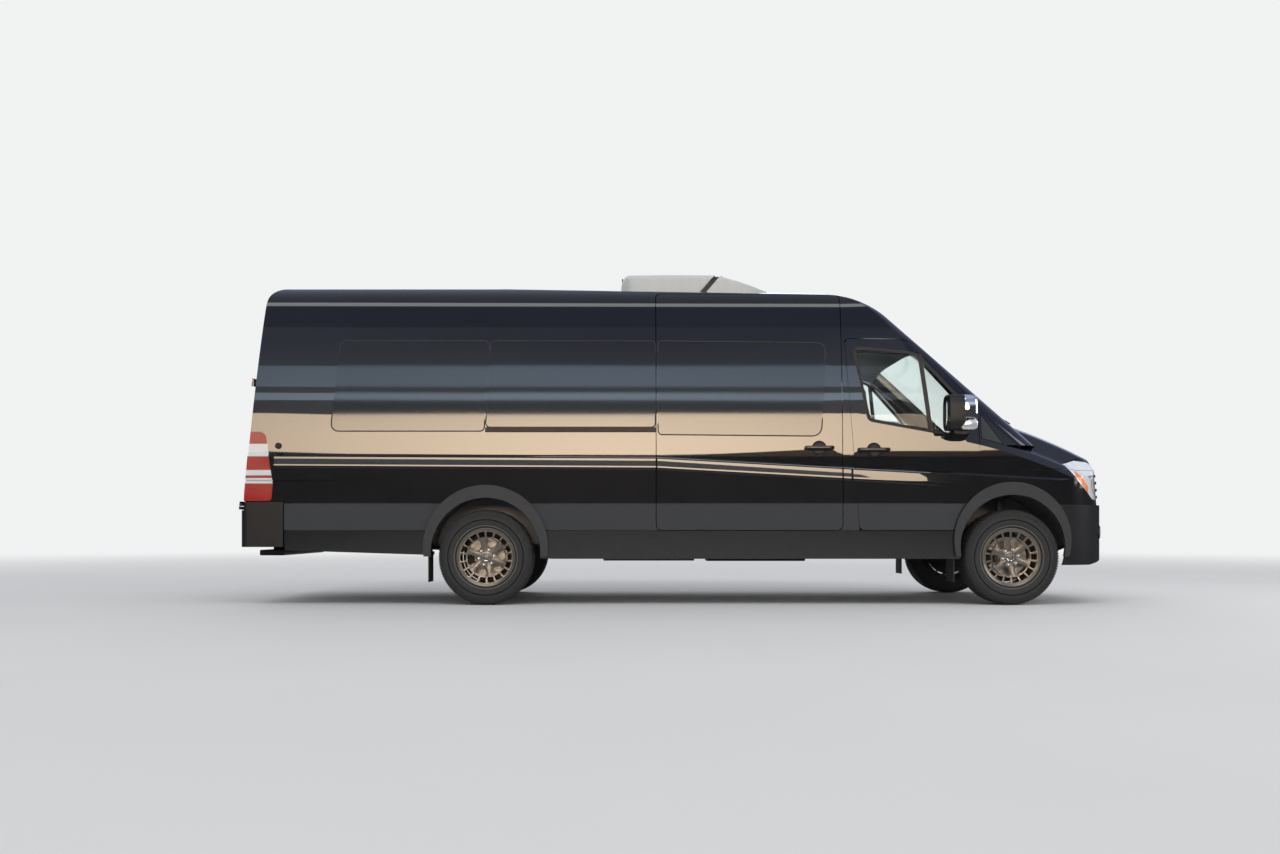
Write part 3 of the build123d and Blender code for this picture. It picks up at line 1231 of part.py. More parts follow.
WHEEL_TILT = Vector(-0.8, 0, 0.6)
with BuildPart() as steering_wheel:
    with Locations(Plane(Vector(2065, SEAT_Y, 1290), x_dir=(0, 1, 0), z_dir=WHEEL_TILT)):
        Torus(190, 15)
        Cylinder(55, 30)
        Box(370, 40, 14)
    with BuildSketch(Plane(Vector(2065, SEAT_Y, 1290), x_dir=(0, 1, 0), z_dir=-WHEEL_TILT)):
        Circle(28)
    extrude(amount=300)
    add(dashboard.part, mode=Mode.SUBTRACT)

# Outside fittings
MIRROR_HEAD = ((2085, 1000, 1412), (2330, 1213, 1715))
with BuildPart() as mirror_left:
    add(rounded_box(*MIRROR_HEAD, 45))
    add(box_between((2110, 930, 1335), (2300, 1150, 1440)))
    add(deepcopy(envelope), mode=Mode.SUBTRACT)
    add(box_between((2000, 800, 1000), (2400, 961, 2000)), mode=Mode.SUBTRACT)

with BuildPart() as mirror_right:
    mirror(mirror_left.part, about=Plane.XZ)

AC_OUTLINE = [(-542, 2690), (-542, 2850), (-480, 2893), (180, 2893), (520, 2830), (742, 2735), (742, 2690)]
AC_RADII = [1, 45, 40, 200, 200, 12, 1]
AC_HALF = 350.0
with BuildPart() as air_conditioner:
    add(side_prism(AC_OUTLINE, AC_RADII, -AC_HALF, AC_HALF))
    add(deepcopy(envelope), mode=Mode.SUBTRACT)

with BuildPart() as slide_rail:
    add(box_between((-1662, -976, 1424), (SLIDER_REAR_X - SEAM, -900, 1461)))
    add(deepcopy(envelope), mode=Mode.SUBTRACT)

MUDFLAPS = ((2195.0, 2203.0, SIDE_BOTTOM_Z), (-2134.0, -2126.0, 412.5))
with BuildPart() as mudflaps:
    for low_x, high_x, top_z in MUDFLAPS:
        add(box_between((low_x, 740, 188), (high_x, 945, top_z)))
    mirror(about=Plane.XZ)

with BuildPart() as front_door_left:
    add(front_door_plain.part)
    add(rounded_box((1400, 940, 1262), (1650, 985, 1292), 8))

with BuildPart() as front_door_right:
    mirror(front_door_left.part, about=Plane.XZ)

with BuildPart() as sliding_door:
    mirror(slider_left.part, about=Plane.XZ)
    add(rounded_box((965, -988, 1278), (1205, -940, 1308), 8))

front_wheel_place = Vector(FRONT_AXLE_X, WHEEL_Y, WHEEL_Z)
rear_wheel_place = Vector(REAR_AXLE_X, WHEEL_Y, WHEEL_Z)

with BuildPart() as rim_front_left:
    with Locations(front_wheel_place):
        add(rim.part)

with BuildPart() as rim_front_right:
    mirror(rim_front_left.part, about=Plane.XZ)

with BuildPart() as rim_rear_left:
    with Locations(rear_wheel_place):
        add(rim.part)

with BuildPart() as rim_rear_right:
    mirror(rim_rear_left.part, about=Plane.XZ)

with BuildPart() as tyre_front_left:
    with Locations(front_wheel_place):
        add(tyre_ring)

with BuildPart() as tyre_front_right:
    mirror(tyre_front_left.part, about=Plane.XZ)

with BuildPart() as tyre_rear_left:
    with Locations(rear_wheel_place):
        add(tyre_ring)

with BuildPart() as tyre_rear_right:
    mirror(tyre_rear_left.part, about=Plane.XZ)

os.makedirs("parts", exist_ok=True)

side_wall_left.part.label = "side_wall_left"
export_step(side_wall_left.part, "parts/side_wall_left.step")

side_wall_right.part.label = "side_wall_right"
export_step(side_wall_right.part, "parts/side_wall_right.step")

rear_frame.part.label = "rear_frame"
export_step(rear_frame.part, "parts/rear_frame.step")

roof.part.label = "roof"
export_step(roof.part, "parts/roof.step")

cab_frame.part.label = "cab_frame"
export_step(cab_frame.part, "parts/cab_frame.step")

fenders.part.label = "fenders"
export_step(fenders.part, "parts/fenders.step")

hood.part.label = "hood"
export_step(hood.part, "parts/hood.step")

grille.part.label = "grille"
export_step(grille.part, "parts/grille.step")

headlamps.part.label = "headlamps"
export_step(headlamps.part, "parts/headlamps.step")

bumper_front.part.label = "bumper_front"
export_step(bumper_front.part, "parts/bumper_front.step")

bumper_rear.part.label = "bumper_rear"
export_step(bumper_rear.part, "parts/bumper_rear.step")

tail_lamps.part.label = "tail_lamps"
export_step(tail_lamps.part, "parts/tail_lamps.step")

sill_panels.part.label = "sill_panels"
export_step(sill_panels.part, "parts/sill_panels.step")

arch_flares.part.label = "arch_flares"
export_step(arch_flares.part, "parts/arch_flares.step")

floor.part.label = "floor"
export_step(floor.part, "parts/floor.step")

chassis_frame.part.label = "chassis_frame"
export_step(chassis_frame.part, "parts/chassis_frame.step")

engine_block.part.label = "engine_block"
export_step(engine_block.part, "parts/engine_block.step")

propeller_shaft.part.label = "propeller_shaft"
export_step(propeller_shaft.part, "parts/propeller_shaft.step")

fuel_tank.part.label = "fuel_tank"
export_step(fuel_tank.part, "parts/fuel_tank.step")

exhaust.part.label = "exhaust"
export_step(exhaust.part, "parts/exhaust.step")

rear_axle.part.label = "rear_axle"
export_step(rear_axle.part, "parts/rear_axle.step")

leaf_springs.part.label = "leaf_springs"
export_step(leaf_springs.part, "parts/leaf_springs.step")

front_suspension.part.label = "front_suspension"
export_step(front_suspension.part, "parts/front_suspension.step")

knuckle_left.part.label = "knuckle_left"
export_step(knuckle_left.part, "parts/knuckle_left.step")

knuckle_right.part.label = "knuckle_right"
export_step(knuckle_right.part, "parts/knuckle_right.step")

rim_front_left.part.label = "rim_front_left"
export_step(rim_front_left.part, "parts/rim_front_left.step")

rim_front_right.part.label = "rim_front_right"
export_step(rim_front_right.part, "parts/rim_front_right.step")

rim_rear_left.part.label = "rim_rear_left"
export_step(rim_rear_left.part, "parts/rim_rear_left.step")

rim_rear_right.part.label = "rim_rear_right"
export_step(rim_rear_right.part, "parts/rim_rear_right.step")

tyre_front_left.part.label = "tyre_front_left"
export_step(tyre_front_left.part, "parts/tyre_front_left.step")

tyre_front_right.part.label = "tyre_front_right"
export_step(tyre_front_right.part, "parts/tyre_front_right.step")

tyre_rear_left.part.label = "tyre_rear_left"
export_step(tyre_rear_left.part, "parts/tyre_rear_left.step")

tyre_rear_right.part.label = "tyre_rear_right"
export_step(tyre_rear_right.part, "parts/tyre_rear_right.step")

dashboard.part.label = "dashboard"
export_step(dashboard.part, "parts/dashboard.step")

steering_wheel.part.label = "steering_wheel"
export_step(steering_wheel.part, "parts/steering_wheel.step")

seat_bases.part.label = "seat_bases"
export_step(seat_bases.part, "parts/seat_bases.step")

seat_cushions.part.label = "seat_cushions"
export_step(seat_cushions.part, "parts/seat_cushions.step")

front_door_left.part.label = "front_door_left"
export_step(front_door_left.part, "parts/front_door_left.step")

front_door_right.part.label = "front_door_right"
export_step(front_door_right.part, "parts/front_door_right.step")

front_window_left.part.label = "front_window_left"
export_step(front_window_left.part, "parts/front_window_left.step")

front_window_right.part.label = "front_window_right"
export_step(front_window_right.part, "parts/front_window_right.step")

mirror_left.part.label = "mirror_left"
export_step(mirror_left.part, "parts/mirror_left.step")

mirror_right.part.label = "mirror_right"
export_step(mirror_right.part, "parts/mirror_right.step")

sliding_door.part.label = "sliding_door"
export_step(sliding_door.part, "parts/sliding_door.step")

side_windows.part.label = "side_windows"
export_step(side_windows.part, "parts/side_windows.step")

windshield.part.label = "windshield"
export_step(windshield.part, "parts/windshield.step")

rear_door_left.part.label = "rear_door_left"
export_step(rear_door_left.part, "parts/rear_door_left.step")

rear_door_right.part.label = "rear_door_right"
export_step(rear_door_right.part, "parts/rear_door_right.step")

rear_window_left.part.label = "rear_window_left"
export_step(rear_window_left.part, "parts/rear_window_left.step")

rear_window_right.part.label = "rear_window_right"
export_step(rear_window_right.part, "parts/rear_window_right.step")

air_conditioner.part.label = "air_conditioner"
export_step(air_conditioner.part, "parts/air_conditioner.step")

slide_rail.part.label = "slide_rail"
export_step(slide_rail.part, "parts/slide_rail.step")

mudflaps.part.label = "mudflaps"
export_step(mudflaps.part, "parts/mudflaps.step")
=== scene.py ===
"""Finishes and fine pieces of a high-roof van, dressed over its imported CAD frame."""

import logging
import math
from dataclasses import dataclass
from enum import Enum

import bmesh
import bpy
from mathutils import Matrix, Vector


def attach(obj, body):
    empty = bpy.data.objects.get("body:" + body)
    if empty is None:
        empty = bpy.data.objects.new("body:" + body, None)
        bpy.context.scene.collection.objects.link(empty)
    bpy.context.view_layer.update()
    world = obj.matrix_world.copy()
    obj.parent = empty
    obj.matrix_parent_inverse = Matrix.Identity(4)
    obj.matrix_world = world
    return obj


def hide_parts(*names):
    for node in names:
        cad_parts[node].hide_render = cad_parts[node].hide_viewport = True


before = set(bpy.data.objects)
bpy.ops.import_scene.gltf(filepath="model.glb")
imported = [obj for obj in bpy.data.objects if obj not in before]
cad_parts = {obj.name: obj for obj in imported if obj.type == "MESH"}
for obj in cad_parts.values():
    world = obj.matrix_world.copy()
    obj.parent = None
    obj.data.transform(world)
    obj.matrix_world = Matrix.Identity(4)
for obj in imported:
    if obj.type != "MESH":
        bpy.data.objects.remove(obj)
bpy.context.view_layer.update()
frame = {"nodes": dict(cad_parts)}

log = logging.getLogger("van")
Triple = tuple[float, float, float]
Colour = Triple
Point = tuple[float, float]
Profile = tuple[Point, ...]
Ring = list[Vector]

LEDGE_Z = 1.223  # height of the ledge along the sides, at its bend
LEDGE_BEND_X = -0.253  # place of that bend, at the sliding door's edge
LEDGE_FALLS = (0.0054, 0.0563)  # its fall for each metre, behind the bend and ahead of it
SKIRT_HALF = 0.980  # half width below the moulding's top
SKIRT_TOP_Z = 0.838  # height of that top
SIDE_HALF = 0.985  # half width of the flat strip above it
SIDE_TOP_Z = 1.0  # height at which the curved wall begins
WALL_HALVES = (0.968, 0.941, 0.885)  # half widths at the ledge, half way up and under the roof
WALL_RISE = 1.077  # height between the first and the last of them


class Side(Enum):
    """Side of the van, with the sign of its Y."""

    LEFT = 1
    RIGHT = -1

    @property
    def word(self) -> str:
        """Name of the side as the frame writes it."""
        return self.name.lower()


class Wire:
    """A number that runs between shader nodes; arithmetic on it adds Math nodes."""

    def __init__(self, net: "Net", socket: bpy.types.NodeSocket) -> None:
        """Keeps the net and the output socket that carries the number."""
        self.net = net
        self.socket = socket

    def _join(self, operation: str, first: "Wire | float", second: "Wire | float") -> "Wire":
        """One Math node on two values."""
        return self.net.add("ShaderNodeMath", {"operation": operation}, {0: first, 1: second})["Value"]

    def __add__(self, other: "Wire | float") -> "Wire":
        """Sum."""
        return self._join("ADD", self, other)

    def __sub__(self, other: "Wire | float") -> "Wire":
        """Difference."""
        return self._join("SUBTRACT", self, other)

    def __rsub__(self, other: float) -> "Wire":
        """Difference from a number."""
        return self._join("SUBTRACT", other, self)

    def __mul__(self, other: "Wire | float") -> "Wire":
        """Product."""
        return self._join("MULTIPLY", self, other)

    def __mod__(self, other: float) -> "Wire":
        """Remainder that is never negative, for repeats."""
        return self._join("FLOORED_MODULO", self, other)

    def __abs__(self) -> "Wire":
        """Size without its sign."""
        return self._join("ABSOLUTE", self, 0.0)

    __radd__ = __add__
    __rmul__ = __mul__

    def above(self, edge: float, soft: float) -> "Wire":
        """Mask of where the value is above an edge.

        Args:
            edge: Value at which the mask is half.
            soft: Half width of the change.

        Returns:
            A smooth mask from 0 to 1.
        """
        values = {"Value": self, "From Min": edge - soft, "From Max": edge + soft}
        return self.net.add("ShaderNodeMapRange", {"interpolation_type": "SMOOTHSTEP"}, values)["Result"]

    def between(self, low: float, high: float, soft: float) -> "Wire":
        """Mask of where the value is from low to high."""
        return self.above(low, soft) * (1.0 - self.above(high, soft))

    def scaled(self, low: float, high: float) -> "Wire":
        """Value from 0 to 1 spread over low to high."""
        return self * (high - low) + low

    def wave(self, pitch: float) -> "Wire":
        """Distance from the middle of each repeat."""
        return abs((self % pitch) - pitch / 2)

    def root(self) -> "Wire":
        """Square root."""
        return self.net.add("ShaderNodeMath", {"operation": "SQRT"}, {0: self})["Value"]


class Parts:
    """A node that was added, whose outputs are read by name or number."""

    def __init__(self, net: "Net", node: bpy.types.Node) -> None:
        """Keeps the net and the node."""
        self.net = net
        self.node = node

    def __getitem__(self, name: str | int) -> Wire:
        """Output of that name or number."""
        return Wire(self.net, self.node.outputs[name])


class Net:
    """Node tree of one finish."""

    def __init__(self, tree: bpy.types.NodeTree) -> None:
        """Keeps the tree."""
        self.tree = tree

    def add(self, kind: str, settings: dict | None = None, values: dict | None = None) -> Parts:
        """Adds a node.

        Args:
            kind: Node type.
            settings: Properties, set before the values.
            values: Numbers, colours or wires by input name or number.

        Returns:
            The node's outputs.
        """
        node = self.tree.nodes.new(kind)
        for key, value in (settings or {}).items():
            setattr(node, key, value)
        for key, value in (values or {}).items():
            self.feed(node.inputs[key], value)
        return Parts(self, node)

    def feed(self, socket: bpy.types.NodeSocket, value: object) -> None:
        """Links a wire to a socket, or sets its number or colour.

        Args:
            socket: Input to set.
            value: Wire, number, colour or vector.
        """
        if isinstance(value, Wire):
            self.tree.links.new(value.socket, socket)
        elif isinstance(value, tuple) and len(value) == 3 and socket.type == "RGBA":
            socket.default_value = (*value, 1.0)
        else:
            socket.default_value = value

    def place(self) -> tuple[Wire, Wire, Wire]:
        """Place on the object, in metres, as three numbers.

        Returns:
            Wires of X, Y and Z.
        """
        coordinates = self.add("ShaderNodeTexCoord")["Object"]
        parts = self.add("ShaderNodeSeparateXYZ", None, {0: coordinates})
        return parts["X"], parts["Y"], parts["Z"]

    def noise(self, size: float, detail: float = 3.0, stretch: Triple = (1.0, 1.0, 1.0)) -> Wire:
        """Soft noise.

        Args:
            size: Width of a patch in metres.
            detail: Octaves.
            stretch: Scale along each axis.

        Returns:
            A number near 0 to 1.
        """
        coordinates = self.add("ShaderNodeTexCoord")["Object"]
        scaled = self.add("ShaderNodeMapping", None, {"Vector": coordinates, "Scale": stretch})["Vector"]
        values = {"Vector": scaled, "Scale": 1 / size, "Detail": detail}
        return self.add("ShaderNodeTexNoise", None, values)[0]

    def mix(self, factor: Wire | float, first: Wire | Colour, second: Wire | Colour) -> Wire:
        """Colour between two colours."""
        return self.add("ShaderNodeMix", {"data_type": "RGBA"}, {0: factor, 6: first, 7: second})[2]

    def bump(self, height: Wire, depth: float) -> Wire:
        """Normal of a surface whose height is a number from 0 to 1 times a depth in metres."""
        values = {"Height": height, "Distance": depth, "Strength": 1.0}
        return self.add("ShaderNodeBump", None, values)["Normal"]


@dataclass(frozen=True)
class Finish:
    """Surface whose colour drifts between two tones, with roughness and relief that follow its own grain.

    Lengths are in metres; slot is the record's material slot of the pieces in this finish, and is not used.
    """

    name: str
    tone: Colour
    drift: Colour
    rough: tuple[float, float]
    patch: float = 0.25
    grain: float = 0.004
    relief: float = 0.0
    metallic: float = 0.0
    slot: str = "trim"
    constants: tuple[tuple[str, float], ...] = ()

    def layers(self, net: Net) -> dict[str, Wire]:
        """Varying inputs of the shader.

        Args:
            net: Node tree to add to.

        Returns:
            Wires by input name, with the relief under "Height".
        """
        patches = net.noise(self.patch)
        grain = net.noise(self.grain, 4.0)
        return {
            "Base Color": net.mix(patches, self.tone, self.drift),
            "Roughness": (patches * 0.6 + grain * 0.4).scaled(*self.rough),
            "Height": grain,
        }

    def material(self) -> bpy.types.Material:
        """The finish's material, made once.

        Returns:
            The material, which later calls share.
        """
        known = bpy.data.materials.get(self.name)
        if known:
            return known
        material = bpy.data.materials.new(self.name)
        material.use_nodes = True
        material.diffuse_color = (*self.tone, 1.0)
        net = Net(material.node_tree)
        shader = material.node_tree.nodes["Principled BSDF"]
        layers = self.layers(net)
        height = layers.pop("Height")
        if self.relief:
            layers["Normal"] = net.bump(height, self.relief)
        shader.inputs["Metallic"].default_value = self.metallic
        for name, value in self.constants:
            shader.inputs[name].default_value = value
        for name, wire in layers.items():
            net.feed(shader.inputs[name], wire)
        return material


@dataclass(frozen=True)
class PanelPaint(Finish):
    """Gloss body paint with the grained grey moulding that runs low along the sides."""

    moulding: Colour = (0.062, 0.064, 0.068)
    moulding_low: float = 0.618
    moulding_high: float = 0.836
    moulding_front: float = 2.93
    groove: float = 0.005
    groove_tone: Colour = (0.001, 0.001, 0.001)
    dust: Colour = (0.10, 0.085, 0.065)
    corner_x: float = 2.430
    # Upper and lower edge of the grained triangle: (fall for each metre, height at the frame's origin)
    upper: Point = (1.317, 4.769)
    lower: Point = (0.253, 1.990)

    def layers(self, net: Net) -> dict[str, Wire]:
        """Paint above, moulding between its two heights, with a little dust low down.

        Args:
            net: Node tree to add to.

        Returns:
            Wires by input name.
        """
        x, y, z = net.place()
        behind = 1.0 - x.above(self.moulding_front, 0.001)
        low = z.between(self.moulding_low, self.moulding_high, 0.0008) * behind
        aside = abs(y).above(0.80, 0.01)
        corner = self.corner(x, z, 0.0)
        groove = (self.corner(x, z, self.groove) - corner) * aside
        band = low * abs(y).above(0.90, 0.004) + corner * aside
        patches = net.noise(self.patch)
        pebble = net.noise(0.0016, 2.0)
        ripple = net.noise(0.011, 1.0)
        dust = (1.0 - z.above(0.9, 0.6)) * net.noise(0.05, 6.0) * 0.16
        paint = net.mix(dust, net.mix(patches, self.tone, self.drift), self.dust)
        return {
            "Base Color": net.mix(groove, net.mix(band, paint, self.moulding), self.groove_tone),
            "Roughness": band * 0.46 + patches.scaled(*self.rough) * (1.0 - band) + dust + groove * 0.5,
            "Coat Weight": (1.0 - band) * (1.0 - groove),
            "Height": band * pebble + (1.0 - band) * ripple * 0.012,
        }

    def corner(self, x: Wire, z: Wire, grow: float) -> Wire:
        """Mask of the grained triangle between the front door and the windshield's foot.

        Args:
            x: Place along the van.
            z: Height.
            grow: How far each edge stands outwards.

        Returns:
            A mask from 0 to 1.
        """
        over = (z + x * self.upper[0]).above(self.upper[1] + grow * 1.6, 0.002)
        inside = (z + x * self.lower[0]).above(self.lower[1] - grow, 0.002)
        return x.above(self.corner_x - grow, 0.001) * (1.0 - over) * inside


@dataclass(frozen=True)
class TailLens(Finish):
    """Ribbed rear lens in red with clear bands, by height."""

    clear: Colour = (0.70, 0.70, 0.69)
    bands: tuple[Point, ...] = ((1.222, 1.327), (1.066, 1.110), (1.000, 1.044))

    def layers(self, net: Net) -> dict[str, Wire]:
        """Clear bands on red, with fine ribs and dark seams between them; the red is painted lighter on the
        ribs' crests and darker in their troughs, as painted light and shade.

        Args:
            net: Node tree to add to.

        Returns:
            Wires by input name.
        """
        _, y, z = net.place()
        clear = 0.0
        seams = 0.0
        for low, high in self.bands:
            clear = z.between(low, high, 0.001) + clear
            seams = z.between(low - 0.004, high + 0.004, 0.001) + seams
        ribs = z.wave(0.011) * 180.0
        columns = y.wave(0.014) * 140.0
        fine = net.noise(0.02)
        # Painted light and shade: the red follows the ribs' relief, lighter on their crests.
        red = net.mix(fine * 0.6 + ribs * 0.3, self.tone, self.drift)
        seam = seams - clear
        colour = net.mix(clear, net.mix(seam, red, (0.09, 0.004, 0.004)), self.clear)
        return {
            "Base Color": colour,
            "Emission Color": colour,
            "Roughness": fine.scaled(*self.rough),
            "Height": ribs * 0.6 + columns * 0.4,
        }


@dataclass(frozen=True)
class HeadLens(Finish):
    """Clear headlamp over a bright reflector with fluting, a dark bezel and an amber corner."""

    amber: Colour = (0.80, 0.22, 0.03)
    bezel: Colour = (0.035, 0.037, 0.04)
    bowl_y: float = 0.745
    bowl_z: float = 0.995

    def layers(self, net: Net) -> dict[str, Wire]:
        """Bright bowl, amber wedge along the rear edge and a darker bezel.

        Args:
            net: Node tree to add to.

        Returns:
            Wires by input name.
        """
        x, y, z = net.place()
        flutes = x.wave(0.018) * 110.0
        lean = z + x * 1.12
        amber = lean.between(4.650, 4.712, 0.004) * x.between(3.205, 3.335, 0.006)
        aside = abs(y) - self.bowl_y
        upward = z - self.bowl_z
        bowl = (aside * aside + upward * upward).root()
        dark = bowl.between(0.070, 0.082, 0.003) + bowl.between(0.0, 0.026, 0.003) * 0.6
        dark = dark * (1.0 - amber) * 0.7
        shine = net.noise(0.05, 2.0)
        bright = net.mix(shine, self.tone, self.drift)
        colour = net.mix(amber, net.mix(dark, bright, self.bezel), self.amber)
        return {
            "Base Color": colour,
            "Emission Color": colour,
            "Metallic": (1.0 - amber) * 0.30,
            "Roughness": shine.scaled(*self.rough),
            "Height": flutes * (0.3 + amber),
        }


@dataclass(frozen=True)
class RoofUnitShell(Finish):
    """Off-white moulded cover, slightly chalky."""

    def layers(self, net: Net) -> dict[str, Wire]:
        """Fine pebble with faint streaks that run down from the top.

        Args:
            net: Node tree to add to.

        Returns:
            Wires by input name.
        """
        streaks = net.noise(0.05, 5.0, (1.0, 1.0, 0.15))
        return {
            "Base Color": net.mix(streaks, self.tone, self.drift),
            "Roughness": streaks.scaled(*self.rough),
            "Height": net.noise(0.002, 2.0),
        }


@dataclass(frozen=True)
class Woven(Finish):
    """Seat cloth of crossed threads."""

    thread: float = 0.0016

    def layers(self, net: Net) -> dict[str, Wire]:
        """Threads that cross, with darker valleys between them.

        Args:
            net: Node tree to add to.

        Returns:
            Wires by input name.
        """
        x, y, z = net.place()
        tall = 2 / self.thread
        weave = y.wave(self.thread) * tall * ((x + z).wave(self.thread) * tall)
        patches = net.noise(self.patch)
        # Painted shade: the colour follows the threads' relief, darker in the valleys and lighter on the
        # threads.
        return {
            "Base Color": net.mix(weave * 0.6 + patches * 0.4, self.tone, self.drift),
            "Roughness": weave.scaled(*self.rough),
            "Height": weave,
        }


@dataclass(frozen=True)
class Mesh(Finish):
    """Intake mesh: a grid of thin bars over near-black holes, the holes being painted shade for the dark
    inside of the openings.
    """

    pitch: float = 0.016

    def layers(self, net: Net) -> dict[str, Wire]:
        """Bars where either coordinate is near a grid line.

        Args:
            net: Node tree to add to.

        Returns:
            Wires by input name.
        """
        _, y, z = net.place()
        columns = y.wave(self.pitch).above(self.pitch * 0.34, 0.0006)
        rows = z.wave(self.pitch).above(self.pitch * 0.30, 0.0006)
        bars = columns + rows - columns * rows
        # Painted shade: the holes between the bars take the near-black tone in place of the shade inside the
        # openings.
        return {
            "Base Color": net.mix(bars, self.tone, self.drift),
            "Roughness": bars.scaled(*self.rough),
            "Height": bars,
        }


PAINT = PanelPaint(
    "gloss_black_paint", (0.0045, 0.005, 0.0065), (0.007, 0.008, 0.011), (0.16, 0.24), patch=0.7,
    relief=0.0006, slot="paint",
    constants=(("Coat Roughness", 0.02), ("Coat IOR", 1.5), ("Specular IOR Level", 0.06)),
)
TRIM = Finish(
    "grained_grey_plastic", (0.040, 0.042, 0.046), (0.052, 0.054, 0.058), (0.42, 0.60), grain=0.0018,
    relief=0.0003, constants=(("Specular IOR Level", 0.2),),
)
BLACK_TRIM = Finish(
    "satin_black_plastic", (0.010, 0.010, 0.011), (0.017, 0.017, 0.018), (0.32, 0.5), grain=0.0016,
    relief=0.0002, constants=(("Specular IOR Level", 0.3),),
)
SILL = Finish(
    "gloss_black_sill", (0.005, 0.005, 0.006), (0.010, 0.010, 0.011), (0.22, 0.34), relief=0.0001,
    constants=(
        ("Coat Weight", 1.0), ("Coat Roughness", 0.03), ("Coat IOR", 1.45), ("Specular IOR Level", 0.3),
    ),
)
RUBBER = Finish(
    "soft_black_rubber", (0.013, 0.013, 0.013), (0.022, 0.021, 0.020), (0.6, 0.85), grain=0.001, relief=0.0002
)
TYRE = Finish(
    "tyre_rubber", (0.012, 0.0118, 0.0115), (0.030, 0.028, 0.025), (0.50, 0.80), patch=0.03, grain=0.0022,
    relief=0.0004, slot="tyre_rubber",
)
WORN = Finish(
    "scuffed_rubber", (0.120, 0.108, 0.088), (0.170, 0.152, 0.124), (0.5, 0.75), patch=0.05, grain=0.002,
    relief=0.0002,
)
ALLOY = Finish(
    "bronze_alloy", (0.150, 0.130, 0.104), (0.205, 0.178, 0.142), (0.30, 0.46), patch=0.08, grain=0.001,
    relief=0.00004, metallic=0.75, slot="wheel_alloy",
    constants=(("Coat Weight", 0.35), ("Coat Roughness", 0.15)),
)
CHROME = Finish(
    "chrome", (0.80, 0.80, 0.81), (0.72, 0.73, 0.75), (0.03, 0.09), patch=0.05, relief=0.00002, metallic=1.0,
    slot="mirror_chrome",
)
STEEL = Finish(
    "turned_steel", (0.42, 0.38, 0.32), (0.58, 0.54, 0.47), (0.22, 0.4), patch=0.03, grain=0.0015,
    relief=0.00005, metallic=1.0,
)
CHASSIS = Finish(
    "chassis_black", (0.020, 0.020, 0.021), (0.040, 0.035, 0.030), (0.45, 0.75), patch=0.12, grain=0.006,
    relief=0.0004, metallic=0.2, slot="frame_steel",
)
IRON = Finish(
    "cast_iron", (0.028, 0.026, 0.025), (0.050, 0.046, 0.043), (0.55, 0.8), patch=0.05, grain=0.003,
    relief=0.0006, metallic=0.2, constants=(("Specular IOR Level", 0.2),),
)
EXHAUST = Finish(
    "heated_steel", (0.22, 0.19, 0.16), (0.34, 0.29, 0.24), (0.35, 0.6), patch=0.09, grain=0.004,
    relief=0.0002, metallic=0.9,
)
PRIVACY = Finish(
    "privacy_glass", (0.0022, 0.0026, 0.0034), (0.0034, 0.0038, 0.0050), (0.015, 0.04), patch=0.8, grain=0.2,
    constants=(
        ("Coat Weight", 1.0), ("Coat Roughness", 0.01), ("Coat IOR", 1.5), ("Specular IOR Level", 0.35),
    ),
)
CLEAR = Finish(
    "cab_glass", (0.90, 0.955, 0.935), (0.86, 0.935, 0.915), (0.0, 0.012), patch=0.5, grain=0.3,
    constants=(("Transmission Weight", 1.0), ("IOR", 1.2)),
)
TAIL = TailLens(
    "tail_lens", (0.30, 0.003, 0.005), (0.42, 0.008, 0.010), (0.06, 0.14), relief=0.0006,
    constants=(
        ("Coat Weight", 0.25), ("Coat Roughness", 0.03), ("Specular IOR Level", 0.2),
        ("Emission Strength", 0.06),
    ),
)
HEAD = HeadLens(
    "head_lens", (0.92, 0.93, 0.94), (0.66, 0.69, 0.72), (0.08, 0.22), relief=0.0012,
    constants=(("Coat Weight", 1.0), ("Coat Roughness", 0.02), ("Emission Strength", 0.18)),
)
LAMP = Finish(
    "clear_lamp", (0.80, 0.81, 0.82), (0.66, 0.68, 0.70), (0.06, 0.16), patch=0.02, grain=0.006,
    relief=0.0005, metallic=0.4, slot="lamp_clear",
    constants=(("Coat Weight", 1.0), ("Coat Roughness", 0.02)),
)
REFLECTOR = Finish(
    "red_reflector", (0.48, 0.008, 0.010), (0.66, 0.03, 0.02), (0.10, 0.2), patch=0.01, grain=0.003,
    relief=0.0005, slot="lamp_red", constants=(("Coat Weight", 1.0),),
)
SHELL = RoofUnitShell(
    "unit_cover", (0.70, 0.71, 0.69), (0.62, 0.63, 0.61), (0.35, 0.5), relief=0.0001, slot="unit_shell"
)
CLOTH = Woven(
    "seat_cloth", (0.030, 0.031, 0.034), (0.085, 0.086, 0.090), (0.75, 0.95), relief=0.0005, slot="seat_cloth"
)
LEATHER = Finish(
    "wheel_leather", (0.014, 0.014, 0.014), (0.028, 0.027, 0.026), (0.35, 0.55), patch=0.05, grain=0.0012,
    relief=0.0002,
)
DASH = Finish(
    "dash_plastic", (0.030, 0.031, 0.034), (0.045, 0.046, 0.050), (0.5, 0.68), patch=0.2, grain=0.0014,
    relief=0.0003,
)
FLOOR_MAT = Finish(
    "floor_lining", (0.045, 0.044, 0.042), (0.075, 0.072, 0.068), (0.6, 0.85), patch=0.06, grain=0.004,
    relief=0.0005,
)
# Near-black tone: painted shade of the holes behind the bars.
MESH = Mesh("intake_mesh", (0.003, 0.003, 0.003), (0.030, 0.031, 0.033), (0.7, 0.4), relief=0.002)
PLATE = Finish("blank_plate", (0.62, 0.63, 0.62), (0.55, 0.56, 0.55), (0.3, 0.5), patch=0.05, relief=0.0001)
MIRROR_GLASS = Finish(
    "mirror_glass", (0.52, 0.58, 0.60), (0.44, 0.51, 0.54), (0.01, 0.04), patch=0.1, metallic=1.0,
    slot="mirror_chrome",
)


